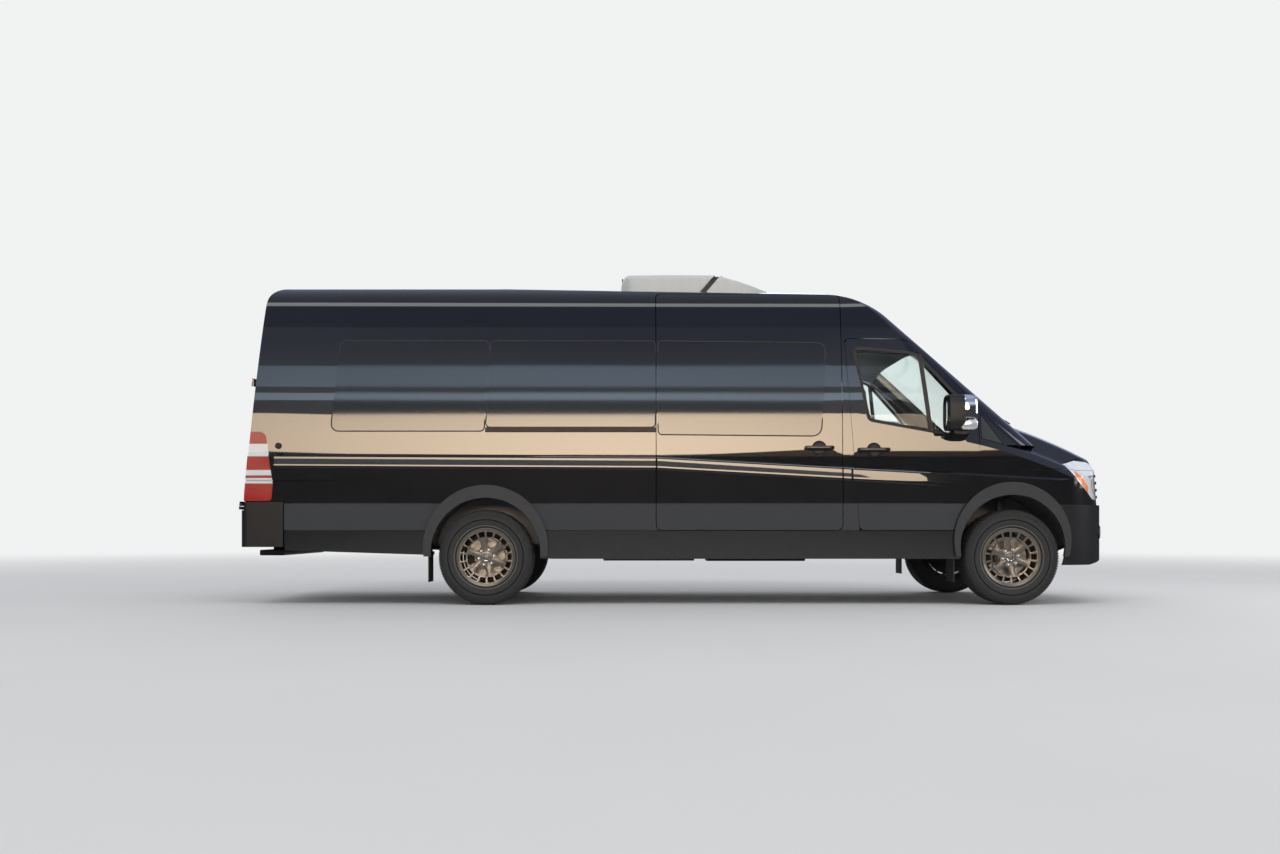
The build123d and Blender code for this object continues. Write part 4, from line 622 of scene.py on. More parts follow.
@dataclass(frozen=True)
class Turning:
    """Axis along Y that a wheel turns about, with outward positions measured from its middle plane."""

    x: float
    y: float
    z: float
    outward: int

    def at(self, radius: float, angle: float, out: float) -> Vector:
        """Point at a radius, an angle from straight forwards, and a place along the axis."""
        across = self.y + self.outward * out
        return Vector((self.x + radius * math.cos(angle), across, self.z + radius * math.sin(angle)))


class Form:
    """Points and faces of one piece, gathered from lofts, turned profiles and plates."""

    SHARP = math.radians(38)
    ROUNDED = math.radians(35)

    def __init__(self) -> None:
        """Starts with no points."""
        self.points: list[Vector] = []
        self.faces: list[tuple[int, ...]] = []
        self.marks: list[int] = []

    def face(self, mark: int, *corners: int) -> None:
        """Adds a face in the finish of that number."""
        self.faces.append(corners)
        self.marks.append(mark)

    def loft(self, rings: list[Ring], mark: int = 0, ends: bool = True, around: bool = True) -> "Form":
        """Skin over rings of equal length.

        Args:
            rings: Rings of points, in order.
            mark: Finish number of the faces.
            ends: Whether the first and last ring are closed with a face.
            around: Whether each ring closes on itself.

        Returns:
            The form itself.
        """
        first = len(self.points)
        count = len(rings[0])
        self.points.extend(Vector(p) for ring in rings for p in ring)
        for r in range(len(rings) - 1):
            for i in range(count if around else count - 1):
                a = first + r * count + i
                b = first + r * count + (i + 1) % count
                self.face(mark, a, b, b + count, a + count)
        if ends:
            last = first + (len(rings) - 1) * count
            self.face(mark, *reversed(range(first, first + count)))
            self.face(mark, *range(last, last + count))
        return self

    def turn(self, profile: list[Point], place: Turning, steps: int, mark: int = 0) -> "Form":
        """Closed profile of (radius, outward place) turned about a wheel's axis."""
        angles = [2 * math.pi * (k % steps) / steps for k in range(steps + 1)]
        return self.loft([[place.at(r, angle, w) for r, w in profile] for angle in angles], mark, ends=False)

    def slab(self, outline: Ring, depth: Triple) -> "Form":
        """Flat outline given a thickness."""
        return self.loft([outline, [p + Vector(depth) for p in outline]])

    def piece(
        self, name: str, finishes: tuple[Finish, ...], bevel: float = 0.0, segments: int = 2, divide: int = 0
    ) -> bpy.types.Object:
        """Makes the object.

        Args:
            name: Name of the piece.
            finishes: Finish of each mark.
            bevel: Width of the rounding of sharp edges in metres.
            segments: Steps of that rounding.
            divide: Levels of subdivision.

        Returns:
            The new object, in the van's frame.
        """
        mesh = bpy.data.meshes.new(name)
        mesh.from_pydata([tuple(p) for p in self.points], [], self.faces)
        for finish in finishes:
            mesh.materials.append(finish.material())
        for polygon, mark in zip(mesh.polygons, self.marks):
            polygon.material_index = mark
        work = bmesh.new()
        work.from_mesh(mesh)
        bmesh.ops.remove_doubles(work, verts=work.verts, dist=1e-6)
        bmesh.ops.dissolve_degenerate(work, edges=work.edges, dist=1e-6)
        bmesh.ops.recalc_face_normals(work, faces=work.faces)
        work.to_mesh(mesh)
        work.free()
        mesh.shade_smooth()
        piece = bpy.data.objects.new(name, mesh)
        bpy.context.scene.collection.objects.link(piece)
        if bevel:
            rounding = piece.modifiers.new("rounding", "BEVEL")
            rounding.width = bevel
            rounding.segments = segments
            rounding.limit_method = "ANGLE"
            rounding.angle_limit = self.ROUNDED
            rounding.harden_normals = True
        else:
            mesh.set_sharp_from_angle(angle=self.SHARP)
        if divide:
            smoothing = piece.modifiers.new("smoothing", "SUBSURF")
            smoothing.levels = divide
            smoothing.render_levels = divide
        return piece

    def dress(
        self, name: str, *finishes: Finish, body: str = "van_body", nodes: tuple[str, ...] = (),
        **shape: float,
    ) -> bpy.types.Object:
        """Makes the object and puts it on its body.

        Args:
            name: Name of the piece.
            finishes: Finish of each mark.
            body: Body that it rides on.
            nodes: Nodes that the piece stands for.
            shape: Bevel, segments and subdivision.

        Returns:
            The piece.
        """
        piece = self.piece(name, finishes, **shape)
        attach(piece, body)
        if nodes:
            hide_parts(*nodes)
        log.info("%s: %d faces on %s", name, len(piece.data.polygons), body)
        return piece


def shares(steps: int) -> list[float]:
    """Even shares from 0 to 1, both included."""
    return [k / steps for k in range(steps + 1)]


def around(count: int) -> list[float]:
    """Even angles round a circle."""
    return [2 * math.pi * k / count for k in range(count)]


def rounded(points: list[Point], radii: float | tuple[float, ...], steps: int = 6) -> list[Point]:
    """Outline with rounded corners.

    Args:
        points: Corners in order.
        radii: Radius of each corner, or of all.
        steps: Points on each corner.

    Returns:
        Points of the rounded outline.
    """
    outline = []
    count = len(points)
    sizes = (radii,) * count if isinstance(radii, float) else radii
    for i, (corner, radius) in enumerate(zip(points, sizes)):
        here = Vector(corner)
        before = (Vector(points[i - 1]) - here).normalized()
        after = (Vector(points[(i + 1) % count]) - here).normalized()
        reach = radius / math.tan(math.acos(max(-1.0, min(1.0, before.dot(after)))) / 2)
        start = here + before * reach
        end = here + after * reach
        for t in shares(steps):
            curve = start * (1 - t) ** 2 + here * 2 * t * (1 - t) + end * t**2
            outline.append((curve.x, curve.y))
    return outline


def box(low: Point, high: Point) -> list[Point]:
    """Corners of a rectangle."""
    return [low, (high[0], low[1]), high, (low[0], high[1])]


def oval(middle: Triple, first: Triple, second: Triple, power: float, count: int = 32) -> Ring:
    """Ring between an ellipse and a rectangle.

    Args:
        middle: Centre of the ring.
        first: Half width as a vector.
        second: Half height as a vector.
        power: 2 for an ellipse, more for squarer corners.
        count: Number of points.

    Returns:
        Points round the ring.
    """
    ring = []
    for k in range(count):
        angle = 2 * math.pi * (k + 0.5) / count
        c = math.cos(angle)
        s = math.sin(angle)
        across = math.copysign(abs(c) ** (2 / power), c)
        up = math.copysign(abs(s) ** (2 / power), s)
        ring.append(Vector(middle) + Vector(first) * across + Vector(second) * up)
    return ring


def shoulder_z(x: float) -> float:
    """Height of the ledge that runs along the sides, which falls faster ahead of the sliding door's edge."""
    return LEDGE_Z - (x - LEDGE_BEND_X) * LEDGE_FALLS[x > LEDGE_BEND_X]


def wall_half(z: float) -> float:
    """Half width of the van's side at a height: two flat steps, then a curve through three half widths.

    Args:
        z: Height in metres.

    Returns:
        Half width in metres.
    """
    if z < SIDE_TOP_Z:
        return SKIRT_HALF if z < SKIRT_TOP_Z else SIDE_HALF
    t = (z - LEDGE_Z) / WALL_RISE
    low, middle, high = WALL_HALVES
    return low * (1 - t) * (1 - 2 * t) + middle * 4 * t * (1 - t) + high * t * (2 * t - 1)


def on_wall(side: Side, x: float, z: float, proud: float) -> Vector:
    """Point on a side wall, stood off by a distance."""
    return Vector((x, side.value * (wall_half(z) + proud), z))


def wall_disc(side: Side, x: float, z: float, profile: Profile, count: int) -> list[Ring]:
    """Rings of a round fitting on a side wall, from a profile of (radius, proud).

    Args:
        side: Side of the van.
        x: Place of its middle along the van.
        z: Height of its middle.
        profile: Points of (radius, distance from the wall).
        count: Points on each ring.

    Returns:
        The rings in order.
    """
    turns = [(math.cos(angle), math.sin(angle)) for angle in around(count)]
    return [[on_wall(side, x + r * c, z + r * s, proud) for c, s in turns] for r, proud in profile]


def strip(form: Form, side: Side, outline: list[Point], width: float, height: float) -> None:
    """Raised strip that follows a closed outline on a side wall.

    Args:
        form: Form that gathers the strip.
        side: Side of the van.
        outline: Points of (x, z) in metres.
        width: Width of the strip.
        height: How far it stands proud.
    """
    count = len(outline)
    rings = []
    for i in range(count + 1):
        here = Vector(outline[i % count])
        ahead = Vector(outline[(i + 1) % count])
        behind = Vector(outline[i - 1 if i % count else count - 1])
        along = (ahead - behind).normalized()
        square = Vector((-along.y, along.x)) * width / 2
        inner = here - square
        outer = here + square
        edge = height * 0.7
        edges = ((inner, -0.002), (inner, edge), (here, height), (outer, edge), (outer, -0.002))
        rings.append([on_wall(side, p.x, p.y, proud) for p, proud in edges])
    form.loft(rings, ends=False)


def finish_node(name: str, finish: Finish) -> None:
    """Gives a carried-over node its finish.

    Args:
        name: Name of the node in the frame.
        finish: Finish that takes the place of its own.
    """
    node = frame["nodes"][name]
    node.data.materials.clear()
    node.data.materials.append(finish.material())


@dataclass
class RoadWheel:
    """Tyre with an all-terrain tread on a six-spoke wheel. Profiles are of (radius, outward place)."""

    end: str
    side: Side
    axle_x: float
    radius: float = 0.393
    axle_y: float = 0.855
    pitches: int = 56
    ribs: int = 168
    rib_group: int = 28
    rib_gap: int = 4
    spokes: int = 6
    slots: int = 18
    nut_circle: float = 0.065
    plate_depth: float = 0.014
    twist: float = math.radians(11)
    hub_radius: float = 0.078
    hub_out: float = 0.074
    ring_radius: float = 0.200
    ring_out: float = 0.098
    casing: Profile = (
        (0.2295, 0.094), (0.2430, 0.1005), (0.2520, 0.1120), (0.2700, 0.1205), (0.2900, 0.1245),
        (0.3045, 0.1252), (0.3070, 0.1274), (0.3130, 0.1274), (0.3155, 0.1252), (0.3350, 0.1245),
        (0.3520, 0.1222), (0.3680, 0.1175), (0.3790, 0.1080), (0.3835, 0.0900), (0.3845, 0.0500),
        (0.3848, 0.0),
    )
    # Corners of the tread blocks of one pitch: (share of the pitch, place across the tyre)
    blocks: tuple[Profile, ...] = (
        ((0.02, -0.004), (0.40, 0.006), (0.46, 0.021), (0.12, 0.024), (0.02, 0.012)),
        ((0.52, -0.021), (0.92, -0.024), (0.98, -0.008), (0.60, 0.004), (0.54, -0.006)),
        ((0.05, 0.030), (0.48, 0.027), (0.58, 0.046), (0.50, 0.058), (0.12, 0.055)),
        ((0.60, 0.026), (0.96, 0.031), (1.02, 0.050), (0.68, 0.056)),
        ((0.30, -0.030), (0.74, -0.028), (0.70, -0.055), (0.24, -0.058)),
        ((0.80, -0.028), (1.22, -0.030), (1.14, -0.056), (0.78, -0.055)),
    )
    # Shoulder lugs of one pitch: (start, end, radius of the foot)
    lugs: tuple[Triple, ...] = ((0.05, 0.42, 0.3460), (0.56, 0.92, 0.3530))
    barrel: Profile = (
        (0.2360, -0.1080), (0.2420, -0.1105), (0.2420, -0.1000), (0.2290, -0.0980), (0.2290, 0.0980),
        (0.2420, 0.1000), (0.2420, 0.1095), (0.2385, 0.1110), (0.2340, 0.1085), (0.2270, 0.1035),
        (0.2195, 0.1000), (0.2180, 0.0780), (0.2170, -0.0920), (0.2230, -0.1000),
    )
    # Hub, its lip, the rotor's bell, the rotor, the plain cap and its ring: (steps, finish number, profile)
    turned: tuple[tuple[int, int, Profile], ...] = (
        (72, 0, (
            (0.0345, 0.0515), (0.082, 0.0515), (0.082, 0.0600), (0.052, 0.0640), (0.050, 0.0740),
            (0.036, 0.0760), (0.0345, 0.070),
        )),
        (72, 0, ((0.0785, 0.066), (0.0825, 0.066), (0.0825, 0.0775), (0.0800, 0.0785), (0.0785, 0.0770))),
        (48, 2, ((0.058, -0.040), (0.070, -0.040), (0.074, 0.040), (0.060, 0.052))),
        (96, 2, (
            (0.070, -0.040), (0.165, -0.040), (0.165, -0.031), (0.150, -0.030), (0.150, -0.026),
            (0.165, -0.025), (0.165, -0.016), (0.070, -0.016),
        )),
        (48, 0, (
            (0.0, 0.0850), (0.016, 0.0845), (0.024, 0.0820), (0.027, 0.0790), (0.0275, 0.0600), (0.0, 0.0600),
        )),
        (48, 1, ((0.0278, 0.074), (0.0330, 0.074), (0.0335, 0.0800), (0.0305, 0.0830), (0.0278, 0.0815))),
    )
    # Splash shield: a real part, and also a dark disc behind the wheel's windows that stands in for the shade
    # under the van.
    shield: Profile = (
        (0.046, -0.0500), (0.200, -0.0500), (0.205, -0.0470), (0.207, -0.0475), (0.202, -0.0530),
        (0.046, -0.0530),
    )
    caliper: Profile = (
        (0.110, -0.011), (0.110, 0.014), (0.178, 0.014), (0.184, 0.006), (0.184, -0.064), (0.178, -0.070),
        (0.110, -0.070), (0.110, -0.055), (0.170, -0.055), (0.170, -0.011),
    )

    def __post_init__(self) -> None:
        """Sets the wheel's axis, its name and its body."""
        self.place = Turning(self.axle_x, self.side.value * self.axle_y, self.radius, self.side.value)
        self.where = f"{self.end}_{self.side.word}"
        self.body = f"wheel_{self.where}"

    def crown(self, out: float) -> float:
        """Radius of the tread's top at a place across the tyre."""
        return self.radius - 0.0022 * (out / 0.10) ** 2 - max(0.0, abs(out) - 0.094) ** 2 * 24

    def block(self, form: Form, corners: Profile, pitch: float, turn: float) -> None:
        """One tread block.

        Args:
            form: Form that gathers the block.
            corners: Corners as (share of a pitch, place across the tyre).
            pitch: Angle of one pitch.
            turn: Angle at which the block's pitch starts.
        """
        middle = Vector((sum(t for t, w in corners), sum(w for t, w in corners))) / len(corners)
        rings = []
        for share, drop in ((1.0, 0.0090), (0.95, 0.0022), (0.88, 0.0)):
            ring = []
            for corner in corners:
                a, b = middle + (Vector(corner) - middle) * share
                ring.append(self.place.at(self.crown(b) - drop, turn + a * pitch, b))
            rings.append(ring)
        form.loft(rings)

    def lug(
        self, form: Form, start: float, end: float, foot: float, pitch: float, turn: float, mirror: int
    ) -> None:
        """One shoulder lug that wraps from the tread down the sidewall.

        Args:
            form: Form that gathers the lug.
            start: Share of the pitch at which it starts.
            end: Share of the pitch at which it ends.
            foot: Radius of its lowest end.
            pitch: Angle of one pitch.
            turn: Angle at which the lug's pitch starts.
            mirror: 1 for the outer shoulder, -1 for the inner one.
        """
        sections = (  # place across the tyre, top radius, low radius, step inward of the low edge
            (0.062, self.crown(0.062), 0.382, 0.0), (0.080, self.crown(0.080), 0.382, 0.0),
            (0.096, self.crown(0.096), 0.381, 0.0), (0.1085, 0.3872, 0.378, -0.002),
            (0.1175, 0.3815, 0.371, -0.006), (0.1245, 0.3710, 0.362, -0.008), (0.1272, foot, foot, -0.008),
        )
        rings = []
        for w, top, low, inward in sections:
            ring = []
            for r, share, step in (
                (low, start, inward), (top, start + 0.03, 0.0), (top, end - 0.03, 0.0), (low, end, inward),
            ):
                ring.append(self.place.at(r, turn + share * pitch, mirror * (w + step)))
            rings.append(ring)
        form.loft(rings)

    def tyre(self) -> None:
        """Makes the casing, tread blocks, shoulder lugs, scuffed rings and sidewall ribs."""
        inner = tuple((r, -w) for r, w in reversed(self.casing[:-1]))
        form = Form().turn(self.casing + inner, self.place, 180)
        pitch = 2 * math.pi / self.pitches
        for k in range(self.pitches):
            for corners in self.blocks:
                self.block(form, corners, pitch, k * pitch)
            for mirror in (1, -1):
                for lug in self.lugs:
                    self.lug(form, *lug, pitch, k * pitch, mirror)
        for r in (0.3100, 0.2600):
            worn = ((r - 0.0034, 0.1190), (r - 0.0028, 0.1274), (r + 0.0028, 0.1274), (r + 0.0034, 0.1190))
            form.turn([(a, w - (0.310 - r) * 0.16) for a, w in worn], self.place, 180, 1)
        for k, angle in enumerate(around(self.ribs)):
            if k % self.rib_group >= self.rib_gap:
                rib = ((0.3300, 0.1240), (0.3310, 0.1262), (0.3440, 0.1250), (0.3450, 0.1228))
                rings = [[self.place.at(r, angle + turn, w) for turn in (-0.006, 0.006)] for r, w in rib]
                form.loft(rings, ends=False, around=False)
        form.dress(f"tyre_{self.where}_tread", TYRE, WORN, body=self.body, nodes=(f"tyre_{self.where}",))

    def face_depth(self, r: float) -> float:
        """Outward place of the wheel's face at a radius.

        Args:
            r: Radius.

        Returns:
            Place along the axis.
        """
        if r < self.hub_radius:
            return self.hub_out
        if r > self.ring_radius:
            return self.ring_out + (r - self.ring_radius) * 0.1
        share = (r - self.hub_radius) / (self.ring_radius - self.hub_radius)
        return self.hub_out + share * (self.ring_out - self.hub_out)

    def plate(
        self, form: Form, rows: list[float], columns: list[list[float]], spans: set, lift: list[float]
    ) -> None:
        """Plate with windows, on a grid of radii and angles.

        Args:
            form: Form that gathers the plate.
            rows: Radii.
            columns: Angles of the grid lines at each radius.
            spans: Cells as (row, column) that are open.
            lift: Extra outward place of each column.
        """
        first = len(form.points)
        wide = len(columns[0])
        for top in (True, False):
            for r, angles in zip(rows, columns):
                for angle, rise in zip(angles, lift):
                    out = self.face_depth(r) + (rise if top else -self.plate_depth)
                    form.points.append(self.place.at(r, angle + self.twist, out))

        def index(row: int, column: int, layer: int) -> int:
            """Number of one grid point."""
            return first + (layer * len(rows) + row) * wide + column % wide

        solid = {(i, j) for i in range(len(rows) - 1) for j in range(wide)} - spans
        for i, j in solid:
            cell = ((i, j), (i + 1, j), (i + 1, j + 1), (i, j + 1))
            form.face(0, *(index(*corner, 0) for corner in cell))
            form.face(0, *(index(*cell[k], 1) for k in (0, 3, 2, 1)))
            for near, a, b in (
                ((i - 1, j), cell[0], cell[3]), ((i + 1, j), cell[2], cell[1]),
                ((i, (j - 1) % wide), cell[1], cell[0]), ((i, (j + 1) % wide), cell[3], cell[2]),
            ):
                if near not in solid:
                    form.face(0, index(*a, 0), index(*b, 0), index(*b, 1), index(*a, 1))

    def window_ring(self, form: Form) -> None:
        """Outer ring with its small windows.

        Args:
            form: Form that gathers the ring.
        """
        rows = [0.156, 0.1665, 0.180, 0.196, 0.2115, 0.2205]
        steps = (-0.385, -0.19, 0.0, 0.19, 0.385, 0.5)
        pitch = 2 * math.pi / self.slots
        angles = [(k + 0.5 + share) * pitch for k in range(self.slots) for share in steps]
        lift = [0.0015 if share == 0.5 else 0.0 for share in steps] * self.slots
        spans = {(i, j) for i in (1, 2, 3) for j in range(len(angles)) if j % 6 < 4}
        self.plate(form, rows, [angles] * len(rows), spans, lift)

    def spoke_star(self, form: Form) -> None:
        """Six crowned spokes with the openings between them.

        Args:
            form: Form that gathers the spokes.
        """
        rows = [0.050, 0.070, 0.086, 0.093, 0.103, 0.116, 0.130, 0.142, 0.151, 0.156, 0.162]
        opens = [5.0, 5.0, 5.0, 11.0, 15.5, 18.5, 19.5, 18.8, 16.0, 11.0, 11.0]
        gap = 2 * math.pi / self.spokes
        columns = []
        for half in map(math.radians, opens):
            angles = []
            for k in range(self.spokes):
                angles.extend(k * gap + half * s for s in (-1.0, -0.6, -0.2, 0.2, 0.6, 1.0))
                angles.extend(k * gap + half + (gap - 2 * half) * part for part in (0.22, 0.5, 0.78))
            columns.append(angles)
        lift = [-0.004, 0.0, 0.0, 0.0, 0.0, -0.004, 0.003, 0.0045, 0.003] * self.spokes
        spans = {(i, j) for i in range(2, 9) for j in range(len(columns[0])) if j % 9 < 5}
        self.plate(form, rows, columns, spans, lift)

    def nut(self, form: Form, angle: float) -> None:
        """One six-sided lug nut with its cone and domed end.

        Args:
            form: Form that gathers the nut.
            angle: Angle of the nut on its circle.
        """
        middle = self.place.at(self.nut_circle, angle, 0.0)
        axis = Turning(middle.x, self.place.y, middle.z, self.side.value)
        flat = math.cos(math.pi / 6) * 1.08
        rings = []
        for out, radius, sides in (
            (0.060, 0.0135, 24), (0.0755, 0.0135, 24), (0.0765, 0.0115, 6), (0.090, 0.0112, 6),
            (0.095, 0.0075, 24), (0.097, 0.003, 24),
        ):
            ring = []
            for turn in around(24):
                sector = turn % (math.pi / 3) - math.pi / 6
                ring.append(axis.at(radius * (flat / math.cos(sector) if sides == 6 else 1.0), turn, out))
            rings.append(ring)
        form.loft(rings, 1)

    def rim(self) -> None:
        """Makes the barrel, face, hub, nuts, cap and brake rotor."""
        form = Form().turn(self.barrel, self.place, 144)
        self.window_ring(form)
        self.spoke_star(form)
        for steps, mark, profile in self.turned:
            form.turn(profile, self.place, steps, mark)
        for angle in around(self.spokes):
            self.nut(form, angle + self.twist)
        name = f"rim_{self.where}"
        form.dress(f"{name}_face", ALLOY, CHROME, STEEL, body=self.body, nodes=(name,), bevel=0.0012)

    def brake(self) -> None:
        """Makes the splash shield behind the wheel, a real part whose dark disc also stands in for the shade
        behind the wheel's windows, and the caliper over the rotor.
        """
        form = Form().turn(self.shield, self.place, 72)
        angles = [math.radians(158 + 5.5 * k) for k in range(9)]
        form.loft([[self.place.at(r, angle, w) for r, w in self.caliper] for angle in angles], 1)
        body = f"knuckle_{self.side.word}_body" if self.end == "front" else "van_body"
        form.dress(f"brake_{self.where}", CHASSIS, IRON, body=body, bevel=0.002)

    def build(self) -> None:
        """Makes the brake, the tyre and the wheel."""
        self.brake()
        self.tyre()
        self.rim()


@dataclass
class RoofUnit:
    """Air conditioner under two moulded covers that meet over a dark slanted band."""

    rear_x: float = -0.542
    front_x: float = 0.742
    foot_z: float = 2.715
    top_z: float = 2.893
    half: float = 0.350
    gap_x: float = 0.165
    band: float = 0.045
    lean: float = 0.85
    sag: float = 0.004
    edge: float = 0.06
    rear_curve_x: float = -0.47
    rear_taper_x: float = -0.44
    nose_x: float = 0.20
    nose_taper_x: float = 0.40

    def top_at(self, x: float) -> float:
        """Height of the covers' middle line.

        Args:
            x: Place along the van.

        Returns:
            Height in metres.
        """
        top = self.top_z - self.sag
        if x < self.rear_curve_x:
            t = (x - self.rear_x) / (self.rear_curve_x - self.rear_x)
            low = self.foot_z + self.edge
            return low + (top - low) * math.sqrt(max(0.0, 1 - (1 - t) ** 2))
        if x < self.nose_x:
            return self.top_z - self.sag * abs(x + 0.1) / 0.3
        t = (x - self.nose_x) / (self.front_x - self.nose_x)
        return top - (top - self.foot_z - 0.015) * t**1.7

    def section(self, x: float, shrink: float, slant: float) -> Ring:
        """Ring across the unit.

        Args:
            x: Place along the van.
            shrink: Inset from the covers' surface.
            slant: How far the ring leans forwards for each metre of height.

        Returns:
            Points of the ring.
        """
        taper = 1.0
        if x < self.rear_taper_x:
            t = (x - self.rear_x) / (self.rear_taper_x - self.rear_x)
            taper = 0.86 + 0.14 * math.sin(t * math.pi / 2)
        if x > self.nose_taper_x:
            taper = 1.0 - 0.16 * ((x - self.nose_taper_x) / (self.front_x - self.nose_taper_x)) ** 2
        half = self.half * taper - shrink
        top = self.top_at(x) - shrink
        ring = []
        for share in shares(32):
            t = share * 2 - 1
            y = half * math.copysign(1 - (1 - abs(t)) ** 1.6, t)
            z = top - (abs(y / half) ** 5 * (top - self.foot_z) * 0.30 + abs(y / half) ** 2 * 0.006)
            if abs(t) == 1.0:
                z = self.foot_z - self.edge
            ring.append(Vector((x + slant * (z - self.foot_z), y, z)))
        return ring

    def build(self) -> None:
        """Makes both covers, the dark band between them, the base gasket and the rear louvres."""
        lean = self.lean
        end = self.gap_x - 0.01
        begin = self.gap_x + self.band
        rear = [self.rear_x + d for d in (0.0, 0.006, 0.018, 0.036, 0.055, 0.072, 0.1, 0.2, 0.4)]
        covers = (
            ("rear", rear + [0.02, end - 0.04, end], [0.0] * 10 + [lean * 0.75, lean], ("air_conditioner",)),
            (
                "front", [begin, begin + 0.05, 0.32, 0.40, 0.48, 0.56, 0.63, 0.69, 0.72, 0.735, self.front_x],
                [lean, lean * 0.7, lean * 0.3] + [0.0] * 8, (),
            ),
        )
        for word, stations, slants, nodes in covers:
            cover = Form().loft([self.section(x, 0.0, s) for x, s in zip(stations, slants)])
            cover.dress(f"unit_{word}_cover", SHELL, nodes=nodes, bevel=0.006, segments=3)
        stations = (self.gap_x - 0.05, self.gap_x, begin, begin + 0.03)
        band = Form().loft([self.section(x, 0.010, lean * 0.9) for x in stations])
        band.dress("unit_band", BLACK_TRIM, bevel=0.003)
        rear_x = self.rear_x + 0.02
        front_x = self.front_x - 0.05
        foot = rounded([(rear_x, -0.29), (front_x, -0.25), (front_x, 0.25), (rear_x, 0.29)], 0.08)
        gasket = Form().slab([Vector((x, y, 2.655)) for x, y in foot], (0, 0, 0.075))
        gasket.dress("unit_gasket", RUBBER, bevel=0.002)
        louvres = Form()
        for k in range(9):
            ends = ((self.rear_x + 0.012, y, 2.765 + 0.011 * k) for y in (-0.20, 0.20))
            louvres.loft([oval(end, (0.006, 0, 0), (0, 0, 0.0028), 4.0, 12) for end in ends])
        louvres.dress("unit_louvres", BLACK_TRIM)


@dataclass
class DoorMirror:
    """Mirror with a chrome cap, a clear lamp below it and a glass that faces the rear."""

    side: Side
    rear_x: float = 2.090
    low_z: float = 1.418
    high_z: float = 1.712
    inner_y: float = 1.004
    outer_y: float = 1.210
    # Cap, chin and lamp: (place along the van, share of the full size)
    cap: Profile = (
        (2.208, 0.90), (2.210, 1.0), (2.245, 1.0), (2.285, 0.96), (2.310, 0.88), (2.324, 0.72),
        (2.329, 0.5), (2.330, 0.2),
    )
    chin: Profile = ((2.20, 0.9), (2.23, 0.95), (2.28, 0.90), (2.308, 0.75), (2.315, 0.4))
    lamp: Profile = ((2.18, 0.6), (2.20, 0.9), (2.25, 1.0), (2.295, 0.92), (2.315, 0.65), (2.320, 0.3))
    lamp_z: float = 1.468
    lamp_half: Point = (0.036, 0.047)
    # Arm: (place across the van, half width, half height, height)
    arm: tuple[tuple[float, float, float, float], ...] = (
        (0.962, 0.092, 0.040, 1.386), (1.000, 0.085, 0.036, 1.390), (1.05, 0.080, 0.032, 1.400),
        (1.10, 0.074, 0.030, 1.410), (1.145, 0.066, 0.026, 1.418),
    )
    arm_x: float = 2.205
    bar_z: float = 1.497

    def rings(self, stations: tuple[Point, ...], power: float = 3.6, raised: float = 0.0) -> list[Ring]:
        """Rings across the head.

        Args:
            stations: Place along the van and share of the head's full size.
            power: Squareness of the ring.
            raised: How far the lower edge is above the head's.

        Returns:
            The rings in order.
        """
        low = self.low_z + raised
        y = self.side.value * (self.inner_y + self.outer_y) / 2
        z = (low + self.high_z) / 2
        half_y = (self.outer_y - self.inner_y) / 2
        half_z = (self.high_z - low) / 2
        return [
            oval((x, y, z), (0, half_y * share, 0), (0, 0, half_z * (0.25 + 0.75 * share)), power, 40)
            for x, share in stations
        ]

    def build(self) -> None:
        """Makes the rim, the cap, the lamp, the chin, the glass, its bar and the arm."""
        sign = self.side.value
        rear = self.rear_x
        shell = ((rear, 0.93), (rear, 0.99), (2.10, 1.0), (2.215, 1.0), (2.215, 0.9))
        rim = Form().loft(self.rings(shell), ends=False)
        rim.loft(self.rings(((2.105, 0.93), (rear, 0.93))), ends=False)
        lamp_y = sign * (self.outer_y - 0.040)
        half_y, half_z = self.lamp_half
        lens = []
        for x, share in self.lamp:
            middle = (x, lamp_y, self.lamp_z)
            lens.append(oval(middle, (0, half_y * share, 0), (0, 0, half_z * share), 3.0, 28))
        bar = (sign * (self.inner_y + 0.012), sign * (self.outer_y - 0.012))
        split = [oval((2.097, y, self.bar_z), (0.003, 0, 0), (0, 0, 0.004), 2.0, 12) for y in bar]
        reach = []
        for y, wide, tall, z in self.arm:
            reach.append(oval((self.arm_x, sign * y, z), (wide, 0, 0), (0, 0, tall), 3.0, 28))
        lofts = (
            ("cap", CHROME, self.rings(self.cap, 3.2, 0.05)),
            ("lamp", LAMP, lens),
            ("chin", BLACK_TRIM, self.rings(self.chin, 3.4)),
            ("glass", MIRROR_GLASS, self.rings(((2.102, 0.90), (2.098, 0.90), (2.0965, 0.88)))),
            ("bar", BLACK_TRIM, split),
            ("arm", BLACK_TRIM, reach),
        )
        name = f"mirror_{self.side.word}"
        body = f"front_door_{self.side.word}_body"
        rim.dress(f"{name}_rim", BLACK_TRIM, body=body, nodes=(name,), bevel=0.003)
        for word, finish, rings in lofts:
            Form().loft(rings).dress(f"{name}_{word}", finish, body=body)


